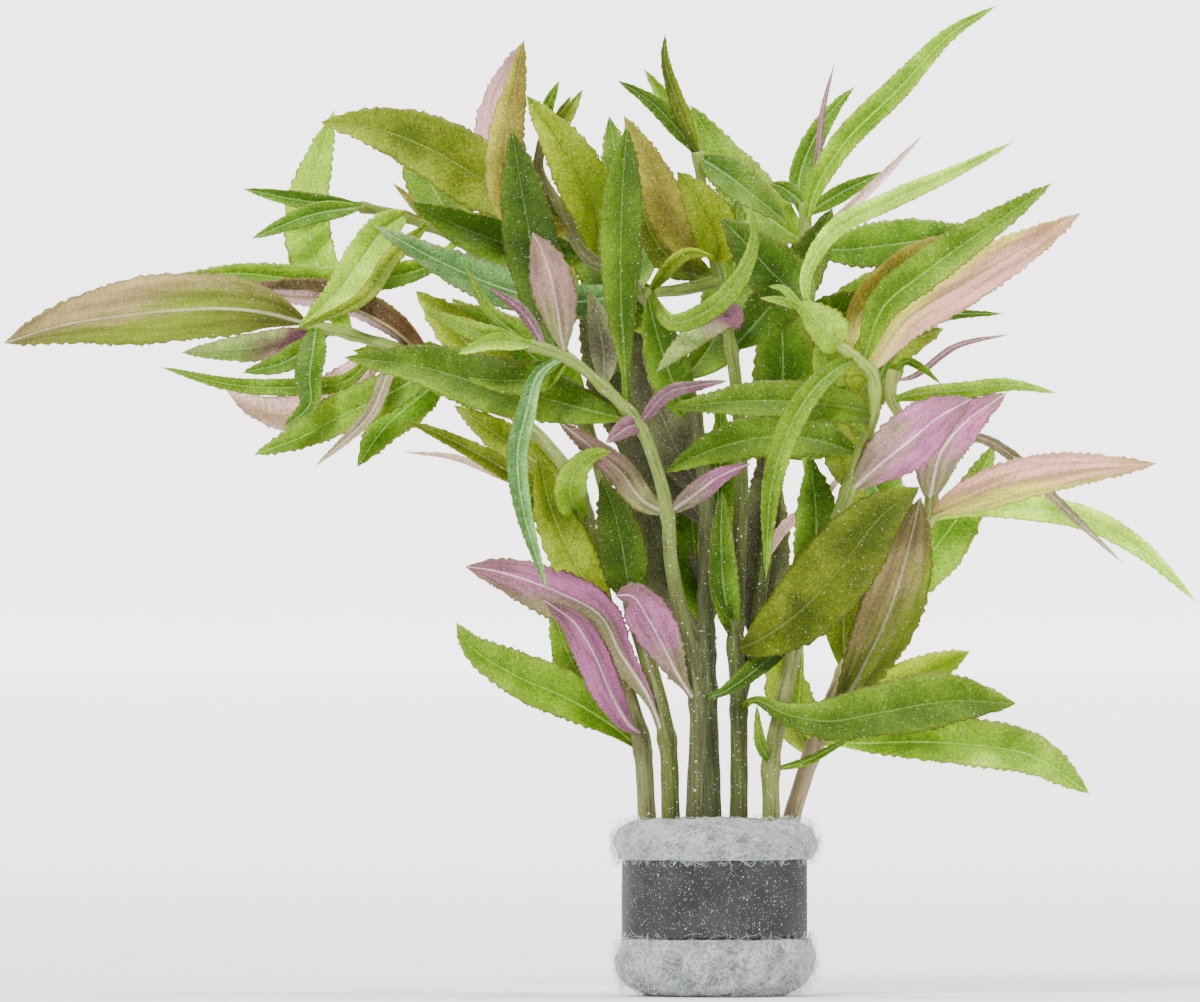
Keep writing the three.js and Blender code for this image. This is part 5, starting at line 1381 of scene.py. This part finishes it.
@dataclass(frozen=True)
class StemSkin:
    """The surface of a stem, paler towards its tip.

    Attributes:
        low: its colour near the cut end.
        high: its colour near the tip.
        dark: its darker streaks.
        light: its lighter streaks.
    """

    low: Colour
    high: Colour
    dark: Colour = (0.050, 0.030, 0.016)
    light: Colour = (0.25, 0.29, 0.07)

    def material(self, name: str) -> Material:
        """Builds the surface.

        Args:
            name: which stem.

        Returns:
            The material.
        """
        made = Nodes(f"{name}_skin")
        where = made.place()
        _, along = made.map("blade")
        round_it, down_it = made.map("size")
        streaks = made.noise(made.join(made.times(round_it, 14.0), made.times(down_it, 1.4)), 9.0, 4.0, 0.6)
        patches = made.noise(where, 90.0, 2.0)
        rise = made.scaled(patches, 0.5, made.less(along, 0.25))
        colour = made.mix(made.step(rise, 0.35, 0.9), self.low, self.high)
        colour = made.over(colour, self.dark, made.step(streaks, 0.48, 0.68), 0.7)
        colour = made.over(colour, self.light, made.step(streaks, 0.5, 0.3), 0.35)
        dots = made.dust(where, STEM_SPECKS)
        made.dress(
            Base_Color=made.over(colour, SPECK, dots, 0.85),
            Roughness=made.scaled(streaks, 0.3, 0.35),
            Specular_IOR_Level=0.2,
            Subsurface_Weight=0.15,
            Subsurface_Radius=(1.0, 1.2, 0.5),
            Subsurface_Scale=0.001,
        )
        made.bump(made.plus(streaks, made.times(dots, 0.6)), 0.6, 0.00015)
        return made.material


STEM_SKINS: dict[str, StemSkin] = {
    "stem_1": StemSkin((0.185, 0.19, 0.070), (0.27, 0.38, 0.065)),
    "stem_2": StemSkin((0.095, 0.115, 0.022), (0.17, 0.23, 0.03)),
    "stem_3": StemSkin((0.068, 0.075, 0.026), (0.20, 0.28, 0.045)),
    "stem_4": StemSkin((0.076, 0.094, 0.036), (0.165, 0.165, 0.055)),
    "stem_5": StemSkin((0.064, 0.080, 0.018), (0.20, 0.29, 0.045)),
    "side_shoot": StemSkin((0.068, 0.092, 0.018), (0.22, 0.33, 0.05)),
    "stem_6": StemSkin((0.17, 0.20, 0.050), (0.30, 0.42, 0.055)),
    "stem_7": StemSkin((0.37, 0.28, 0.16), (0.42, 0.50, 0.10)),
}


@dataclass
class Shoot:
    """A stem with the young leaves that are joined to it. Lengths are in mm.

    Attributes:
        name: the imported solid's name.
        points: where it passes.
        wardrobe: where its surfaces come from.
        rng: the source of its small irregularities.
        leaf_step: the distance between rows of its leaves.
        side_radius: the radius at the start of a side shoot or stalk.
        swelling: how far it swells where leaves grow.
        ridges: how far its ridges stand out, as a share of its radius.
        unevenness: how much its radius changes along it, as a share.
        stalk_start: where a side stalk's colours start, as a share of the way from the cut end to a tip.
        brightness: the least and most that a young leaf's brightness is changed by chance.
    """

    name: str
    points: tuple[Point, ...]
    wardrobe: Wardrobe
    rng: random.Random
    sides: int = 18
    row_step: float = 0.6
    leaf_step: float = 0.45
    low_radius: float = 1.75
    side_radius: float = 1.25
    tip_radius: float = 0.85
    swelling: float = 0.26
    swelling_reach: float = 1.3
    ridges: float = 0.025
    unevenness: float = 0.02
    stalk_start: float = 0.8
    brightness: tuple[float, float] = (0.8, 1.25)

    def build(self) -> Piece:
        """Models and dresses the shoot.

        Returns:
            The piece.
        """
        shell = new_shell()
        young = young_leaves(self.name)
        borne = [leaf for leaf in LEAVES if leaf.stem == self.name] + young
        radius = self.side_radius if self.name == "side_shoot" else self.low_radius
        self._tube(shell, self.points, radius, [Vector(leaf.midrib[0]) for leaf in borne])
        if self.name in SIDE_STALKS:
            self._tube(shell, SIDE_STALKS[self.name], self.side_radius, [], self.stalk_start)
        materials = [STEM_SKINS[self.name].material(self.name)]
        slots: dict[Tone, int] = {}
        for leaf in young:
            if leaf.tone not in slots:
                slots[leaf.tone] = len(materials)
                materials += self.wardrobe.pair(leaf.tone)
            bright = self.rng.uniform(*self.brightness) * YOUNG_BRIGHT.get(leaf.tone, 1.0)
            bright *= SHOOT_BRIGHT.get(self.name, 1.0)
            tint = bright, FINISHES[leaf.tone].flushed, self.rng.random()
            Blade(leaf, self.rng, row_step=self.leaf_step).build(shell, slots[leaf.tone], tint)
        return finish_piece(shell, f"{self.name}_shoot", materials, self.name)

    def _tube(self, shell: Shell, points: tuple[Point, ...], radius: float, nodes: list[Vector],
              start: float = 0.0) -> None:
        """Adds a round stem that swells a little where leaves grow.

        Args:
            shell: the mesh under way.
            points: what it passes through.
            radius: its radius at the start.
            nodes: where leaves grow on it.
            start: where its colours start, as a share of the way from the cut end to a tip.
        """
        path = Path(points)
        rows = round(path.length / self.row_step)
        seats = add_grid(shell, self.sides, rows)
        faces = list({face for vert in seats for face in vert.link_faces})
        smooth(faces)
        blade = shell.loops.layers.uv["blade"]
        size = shell.loops.layers.uv["size"]
        mark = shell.loops.layers.float_color["tint"]
        for loop in (loop for face in faces for loop in face.loops):
            turn, t = (loop.vert.co.x + 1) / 2, (loop.vert.co.y + 1) / 2
            loop[blade].uv = (turn, start + (1 - start) * t)
            loop[size].uv = (turn * math.tau * radius / DECIMETRE, t * path.length / DECIMETRE)
            loop[mark] = PLAIN_TINT
        swells = [path.nearest(node) * path.length for node in nodes]
        rings = self._rings(path, rows)
        for vert, (_, row) in seats.items():
            angle = (vert.co.x + 1) / 2 * math.tau
            t = row / rows
            travel = t * path.length
            near = (math.exp(-(((travel - s) / self.swelling_reach) ** 2)) for s in swells)
            thick = radius * (1 - t) + self.tip_radius * t + self.swelling * max(near, default=0.0)
            ridge = self.ridges * math.sin(5 * angle + 3 * t)
            thick *= 1 + ridge + self.unevenness * math.sin(travel * 0.9)
            place, side, face = rings[row]
            vert.co = (place + side * (math.cos(angle) * thick) + face * (math.sin(angle) * thick)) * MM
        bmesh.ops.remove_doubles(shell, verts=list(seats), dist=MERGED)
        loose = [edge for face in faces if face.is_valid for edge in face.edges if edge.is_boundary]
        caps = bmesh.ops.holes_fill(shell, edges=list(set(loose)), sides=0)["faces"]
        bmesh.ops.recalc_face_normals(shell, faces=[f for f in (*faces, *caps) if f.is_valid])

    @staticmethod
    def _rings(path: Path, rows: int) -> list[tuple[Vector, Vector, Vector]]:
        """Finds how each row lies, without a twist.

        Args:
            path: the stem's middle.
            rows: the number of rows.

        Returns:
            For each row the place, and two directions across the stem.
        """
        tangent = path.tangent(0)
        side = tangent.orthogonal().normalized()
        rings = []
        for row in range(rows + 1):
            turned = path.tangent(row / rows)
            side = (tangent.rotation_difference(turned) @ side).normalized()
            tangent = turned
            rings.append((path.at(row / rows), side, tangent.cross(side)))
        return rings


@dataclass
class BigLeaf:
    """A leaf that is a piece of its own."""

    leaf: Leaf
    wardrobe: Wardrobe
    rng: random.Random

    def build(self) -> Piece:
        """Models and dresses the leaf.

        Returns:
            The piece.
        """
        shell = new_shell()
        name, dress = self.leaf.name, self.leaf.dress
        worn = dress.tone or self.leaf.tone
        flushed = FINISHES[worn].flushed if dress.flushed is None else dress.flushed
        Blade(self.leaf, self.rng).build(shell, 0, (dress.bright, flushed, dress.half))
        return finish_piece(shell, f"{name}_blade", self.wardrobe.pair(worn), name)


@dataclass
class WoolPlug:
    """The plug of filter wool: a lumpy wad, squeezed in at the strip, with loose fibres all over it.

    Lengths are in mm.

    Attributes:
        rng: the source of its irregularities.
        waist_radius: its radius under the strip.
        squeezed: the heights between which the strip keeps it smooth.
        lumps: how many of its lumps fit in a metre and how high they are, for coarse and fine ones.
        parts: the shares of the outline where strands start, below and above the strip.
        fuzzy: the share of strands that stand off as short fuzz.
        strand_doublings: how often the strands are doubled, from one.
    """

    rng: random.Random
    foot_radius: float = 12.0
    lower_radius: float = 17.2
    waist_radius: float = 14.2
    upper_radius: float = 17.8
    height: float = 30.4
    sides: int = 120
    outline_rows: int = 90
    squeezed: tuple[float, float] = (9.2, 23.8)
    lumps: tuple[tuple[float, float], ...] = ((190, 0.75), (620, 0.3))
    parts: tuple[tuple[float, float], ...] = ((0.14, 0.44), (0.66, 0.86))
    fuzzy: float = 0.45
    strand_doublings: int = 12
    strand_rows: int = 6
    strand_radius: float = 0.032

    def profile(self, share: float) -> tuple[float, float]:
        """Follows the wad's outline from the middle of its underside to the middle of its top.

        Args:
            share: how far, 0 to 1.

        Returns:
            The radius and height there.
        """
        outline = (
            (0, 0), (8, 0), (self.foot_radius, 0.1), (15.4, 1.9), (16.9, 4.4), (self.lower_radius, 6.4),
            (16.3, 9.7), (self.waist_radius, 10.1), (self.waist_radius, 16), (self.waist_radius, 22.9),
            (16.5, 23.3), (self.upper_radius, 26.2), (16.6, 28.6), (12.6, 30.2), (8, self.height),
            (0, self.height),
        )
        at = share * (len(outline) - 1)
        i = min(int(at), len(outline) - 2)
        (r0, z0), (r1, z1) = outline[i], outline[i + 1]
        return r0 + (r1 - r0) * (at - i), z0 + (z1 - z0) * (at - i)

    def build(self) -> list[Piece]:
        """Models the wad and its loose fibres.

        Returns:
            The two pieces.
        """
        return [self._wad(), self._fibres()]

    def _wad(self) -> Piece:
        """Spins the outline into a body and makes it lumpy.

        Returns:
            The piece.
        """
        shell = bmesh.new()
        outline = [self.profile(i / self.outline_rows) for i in range(self.outline_rows + 1)]
        chain = [shell.verts.new((radius * MM, 0, height * MM)) for radius, height in outline]
        edges = [shell.edges.new(pair) for pair in zip(chain, chain[1:])]
        bmesh.ops.spin(shell, geom=[*chain, *edges], cent=(0, 0, 0), axis=(0, 0, 1), angle=math.tau,
                       steps=self.sides, use_merge=True)
        bmesh.ops.remove_doubles(shell, verts=shell.verts[:], dist=1e-6)
        bmesh.ops.recalc_face_normals(shell, faces=shell.faces[:])
        shell.normal_update()
        low, high = self.squeezed
        moves = {}
        for vert in shell.verts:
            lump = sum(noise.noise(vert.co * scale) * height for scale, height in self.lumps)
            free = 0.25 if low * MM < vert.co.z < high * MM else 1.0
            floor = min(1.0, vert.co.z / (2 * MM))
            moves[vert] = vert.normal * (lump - 0.25) * MM * free * floor
        for vert, move in moves.items():
            vert.co += move
        smooth(shell.faces)
        return finish_piece(shell, "wool_wad", [WoolSkin().wad()], "wool_plug")

    def _fibres(self) -> Piece:
        """Lays thousands of fine curved strands over the wad, doubled up from one.

        Returns:
            The piece.
        """
        shell = bmesh.new()
        seats = list(add_grid(shell, 3, self.strand_rows).values())
        for _ in range(self.strand_doublings):
            bmesh.ops.duplicate(shell, geom=[*shell.verts, *shell.edges, *shell.faces])
        shell.verts.ensure_lookup_table()
        for first in range(0, len(shell.verts), len(seats)):
            rings = self._strand()
            for i, (corner, row) in enumerate(seats):
                place, side, face, radius = rings[row]
                angle = corner / 3 * math.tau
                spot = place + side * (math.cos(angle) * radius) + face * (math.sin(angle) * radius)
                shell.verts[first + i].co = spot * MM
        bmesh.ops.remove_doubles(shell, verts=shell.verts[:], dist=MERGED)
        smooth(shell.faces)
        return finish_piece(shell, "wool_fibres", [WoolSkin().fibre()], "wool_plug")

    def _strand(self) -> list[tuple[Vector, Vector, Vector, float]]:
        """Lets one strand wander over the wad, above or below the strip.

        Returns:
            Its rings: place, two directions across, and radius.
        """
        rng = self.rng
        low = rng.random() < 0.5
        radius, height = self.profile(rng.uniform(*self.parts[0 if low else 1]))
        floor, roof = (0.15, 11.2) if low else (22.1, self.height + 0.5)
        fuzz = rng.random() < self.fuzzy
        turn = rng.uniform(0, math.tau)
        heading = rng.gauss(0, 0.75) + (math.pi if rng.random() < 0.5 else 0)
        length = rng.uniform(1.2, 3.2) if fuzz else rng.uniform(2.5, 6.5)
        curl = rng.gauss(0, 0.5 if fuzz else 0.25)
        out = radius + rng.uniform(-0.5, 0.3)
        rise = rng.uniform(0.15, 0.75) if fuzz else rng.uniform(-0.05, 0.1)
        thick = self.strand_radius * rng.uniform(0.7, 1.3)
        places = []
        travel = length / self.strand_rows
        z = min(max(height, floor + 0.3), roof - 0.3)
        for _ in range(self.strand_rows + 1):
            places.append(Vector((out * math.cos(turn), out * math.sin(turn), z)))
            if not floor < z + math.sin(heading) * travel < roof:
                heading, curl = -heading, -curl
            turn += math.cos(heading) * travel / max(out, 4)
            z += math.sin(heading) * travel
            heading += curl
            out = min(out + rise * travel, self.upper_radius + 0.9)
        rings = []
        for i, place in enumerate(places):
            ahead = places[min(i + 1, self.strand_rows)] - places[max(i - 1, 0)]
            side = ahead.cross(Vector((place.x, place.y, 0))).normalized()
            thinner = thick * (1 - 0.5 * i / self.strand_rows)
            rings.append((place, side, ahead.cross(side).normalized(), thinner))
        return rings


@dataclass(frozen=True)
class WoolSkin:
    """White filter wool, matted and a little see-through.

    Attributes:
        shade: the hollows between its lumps.
        deep: the painted shade in the gaps between its fibres.
        foot: the heights between which its foot turns stained, in m.
        crown: the same for its top.
    """

    white: Colour = (0.58, 0.60, 0.58)
    shade: Colour = (0.21, 0.23, 0.215)
    deep: Colour = (0.12, 0.135, 0.125)
    stain: Colour = (0.075, 0.105, 0.060)
    grains: Colour = (0.90, 0.92, 0.90)
    strand: Colour = (0.86, 0.88, 0.86)
    foot: tuple[float, float] = (0.0050, 0.0004)
    crown: tuple[float, float] = (0.0275, 0.0310)

    def wad(self) -> Material:
        """Builds the surface of the matted mass.

        Returns:
            The material.
        """
        made = Nodes("wool_matted")
        where = made.place()
        height = made.split(where)[2]
        lumps = made.noise(where, 260.0, 5.0, 0.65)
        fluff = made.noise(where, 1500.0, 5.0, 0.75)
        ends = made.math("MAXIMUM", made.step(height, *self.foot), made.step(height, *self.crown))
        colour = made.mix(made.step(lumps, 0.36, 0.60), self.shade, self.white)
        # Painted shade: the gaps between the fibres are darkened.
        colour = made.over(colour, self.deep, made.step(fluff, 0.56, 0.38), 0.8)
        colour = made.over(colour, self.stain, made.times(ends, made.step(lumps, 0.58, 0.44)), 0.65)
        made.dress(
            Base_Color=made.over(colour, self.grains, made.specks(where, WOOL_SPECKS), 0.8),
            Roughness=0.95,
            Sheen_Weight=0.4,
            Subsurface_Weight=0.5,
            Subsurface_Radius=(1.0, 1.0, 1.0),
            Subsurface_Scale=0.002,
        )
        made.bump(made.plus(fluff, lumps), 0.9, 0.0006)
        return made.material

    def fibre(self) -> Material:
        """Builds the surface of the loose strands.

        Returns:
            The material.
        """
        made = Nodes("wool_strand")
        colour = made.mix(made.noise(made.place(), 120.0, 2.0), self.white, self.strand)
        made.dress(Base_Color=colour, Roughness=0.6, Subsurface_Weight=0.3, Subsurface_Scale=0.001)
        return made.material


@dataclass(frozen=True)
class LeadSkin:
    """Dull oxidised lead, clouded from dark to pale, with wipe marks and white dots."""

    dark: Colour = (0.004, 0.004, 0.0044)
    pale: Colour = (0.036, 0.036, 0.037)
    wiped: Colour = (0.10, 0.10, 0.105)
    dots: Colour = (0.75, 0.75, 0.75)

    def material(self) -> Material:
        """Builds the surface.

        Returns:
            The material.
        """
        made = Nodes("lead_dull")
        where = made.place()
        upright = made.add("ShaderNodeMapping")
        made.put(upright.inputs["Vector"], where)
        upright.inputs["Scale"].default_value = (1.0, 1.0, 0.12)
        cloud = made.noise(where, 130.0, 4.0, 0.6)
        wipes = made.noise(upright.outputs[0], 900.0, 3.0, 0.6)
        fine = made.noise(where, 2600.0, 3.0, 0.7)
        dots = made.dust(where, LEAD_SPECKS)
        colour = made.mix(made.step(cloud, 0.25, 0.75), self.dark, self.pale)
        colour = made.over(colour, self.wiped, made.step(wipes, 0.52, 0.75), 0.12)
        made.dress(
            Base_Color=made.over(colour, self.dots, dots, 0.8),
            Metallic=0.15,
            Roughness=made.scaled(cloud, 0.3, 0.42),
        )
        made.bump(made.plus(fine, made.plus(wipes, dots)), 0.5, 0.00015)
        return made.material


@dataclass
class LeadStrip:
    """The strip of lead, wound a little more than once round the wool. Lengths are in mm.

    Attributes:
        lap_gap: the gap between its turns.
        skew: how much higher one end is than the other.
        dents: how deep its dents are.
        ragged: how far its edges wander.
        sharp: how steep an edge is rounded, in radians.
        steps: how many faces it has along it.
        rows: how many it has across.
    """

    bottom: float = 10.0
    height: float = 13.0
    thickness: float = 0.9
    lap_gap: float = 0.3
    turns: float = 1.15
    start_angle: float = -0.3
    inner_radius: float = 15.05
    skew: float = 0.5
    dents: float = 0.12
    ragged: float = 0.16
    sharp: float = 1.0
    rounding: float = 0.16
    steps: int = 260
    rows: int = 20

    def build(self) -> Piece:
        """Bends, thickens and rounds the strip.

        Returns:
            The piece.
        """
        shell = bmesh.new()
        for vert in add_grid(shell, self.steps, self.rows):
            left = self.turns * (1 - vert.co.x) / 2
            angle = self.start_angle - math.tau * (self.turns - left)
            up = vert.co.y * self.height / 2
            middle = self.bottom + self.height / 2 + self.skew * (left / self.turns - 0.5)
            bumps = Vector((math.cos(angle) * 2.2, math.sin(angle) * 2.2, up * 0.14 + left))
            dent = noise.noise(bumps) * self.dents
            wander = noise.noise(Vector((angle * 2.0, left * 3, 5 if up > 0 else 9))) * self.ragged
            edge = wander * abs(vert.co.y)
            radius = self.inner_radius + (self.thickness + self.lap_gap) * left + dent
            vert.co = Vector((radius * math.cos(angle), radius * math.sin(angle), middle + up + edge)) * MM
        bmesh.ops.recalc_face_normals(shell, faces=shell.faces[:])
        bmesh.ops.solidify(shell, geom=shell.faces[:], thickness=self.thickness * MM)
        bmesh.ops.recalc_face_normals(shell, faces=shell.faces[:])
        edges = [e for e in shell.edges if e.is_manifold and e.calc_face_angle() > self.sharp]
        bmesh.ops.bevel(
            shell, geom=edges, offset=self.rounding * MM, segments=3, profile=0.5, affect="EDGES",
            material=-1,
        )
        smooth(shell.faces)
        return finish_piece(shell, "lead_band", [LeadSkin().material()], "lead_strip")


@dataclass(frozen=True)
class Lamp:
    """A large soft light, with its place and width in m and its power in W."""

    name: str
    place: Point
    size: float
    power: float


LAMPS = (
    Lamp("key", (-0.8, -1.5, 1.6), 0.6, 70.0),
    Lamp("fill", (1.3, -1.2, 0.7), 1.0, 15.0),
    Lamp("top", (0.2, 0.1, 1.7), 0.8, 38.0),
)


@dataclass
class Backdrop:
    """A pale floor that sweeps up far behind the bunch, where it glows faintly like a light table.

    Lengths are in m.

    Attributes:
        back: how far behind the bunch it starts to bend up.
        length: its length, measured along it.
        grey: the darkest and the palest of its colours.
        glow_reach: where the glow starts and where it is full.
    """

    front: float = 10.0
    back: float = 8.5
    bend: float = 0.8
    length: float = 23.0
    half_width: float = 10.0
    rows: int = 80
    grey: tuple[Colour, Colour] = ((0.90, 0.90, 0.90), (0.93, 0.93, 0.93))
    glow: float = 2.6
    glow_reach: tuple[float, float] = (-0.3, 2.2)

    def build(self) -> None:
        """Bends the floor and puts it into the scene, on no body of the bunch."""
        shell = bmesh.new()
        for vert in add_grid(shell, 2, self.rows):
            way = (vert.co.y + 1) / 2 * self.length - self.front
            angle = min(max((way - self.back) / self.bend, 0.0), math.pi / 2)
            y = min(way, self.back) + self.bend * math.sin(angle)
            z = self.bend * (1 - math.cos(angle)) + max(way - self.back - self.bend * math.pi / 2, 0.0)
            vert.co = Vector((vert.co.x * self.half_width, y, z))
        smooth(shell.faces)
        add_mesh(shell, "floor", [self._material()])

    def _material(self) -> Material:
        """Builds the floor's surface.

        Returns:
            The material.
        """
        made = Nodes("floor_pale")
        where = made.place()
        glow = made.times(made.step(made.split(where)[1], *self.glow_reach), self.glow)
        made.dress(
            Base_Color=made.mix(made.noise(where, 3.0, 2.0), *self.grey),
            Roughness=0.9,
            Emission_Color=(1.0, 1.0, 1.0),
            Emission_Strength=glow,
        )
        return made.material


@dataclass
class Studio:
    """The floor, the light and the camera.

    Attributes:
        centre: the middle of the picture, in mm.
        span: what the picture's width covers at the bunch, in mm.
        distance: how far away the camera stands, in m.
        sight: how far it sees, in m.
        sensor: the width of its sensor, in mm.
    """

    centre: Point = (-19.55, 0.0, 84.15)
    span: float = 204.0
    distance: float = 4.0
    sight: float = 30.0
    sensor: float = 36.0
    daylight: float = 0.33

    def build(self) -> None:
        """Sets up everything that isn't part of the bunch."""
        self._camera()
        Backdrop().build()
        self._lights()

    def _camera(self) -> None:
        """Stands the camera level in front."""
        data = bpy.data.cameras.new("camera")
        data.sensor_width = self.sensor
        data.lens = self.sensor * self.distance / (self.span * MM)
        data.clip_end = self.sight
        camera = add_object("camera", data)
        camera.location = (self.centre[0] * MM, -self.distance, self.centre[2] * MM)
        camera.rotation_euler = (math.pi / 2, 0, 0)
        bpy.context.scene.camera = camera

    def _lights(self) -> None:
        """Hangs large soft lights and fills the room with pale light."""
        world = bpy.data.worlds.new("room")
        world.use_nodes = True
        room = world.node_tree.nodes["Background"]
        room.inputs["Color"].default_value = (1.0, 1.0, 1.0, 1.0)
        room.inputs["Strength"].default_value = self.daylight
        bpy.context.scene.world = world
        aim = Vector(self.centre) * MM
        for lamp in LAMPS:
            data = bpy.data.lights.new(lamp.name, "AREA")
            data.shape = "DISK"
            data.size = lamp.size
            data.energy = lamp.power
            hung = add_object(lamp.name, data)
            hung.location = lamp.place
            hung.rotation_euler = (aim - Vector(lamp.place)).to_track_quat("-Z", "Y").to_euler()


def main() -> None:
    """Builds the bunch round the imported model."""
    logging.basicConfig(level=logging.INFO, format="%(name)s: %(message)s")
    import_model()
    Studio().build()
    wardrobe = Wardrobe()
    for name, points in STEMS.items():
        Shoot(name, points, wardrobe, random.Random(f"{SEED} {name}")).build()
    for leaf in LEAVES:
        BigLeaf(leaf, wardrobe, random.Random(f"{SEED} {leaf.name}")).build()
    WoolPlug(random.Random(SEED)).build()
    LeadStrip().build()


if __name__ == "__main__":
    main()
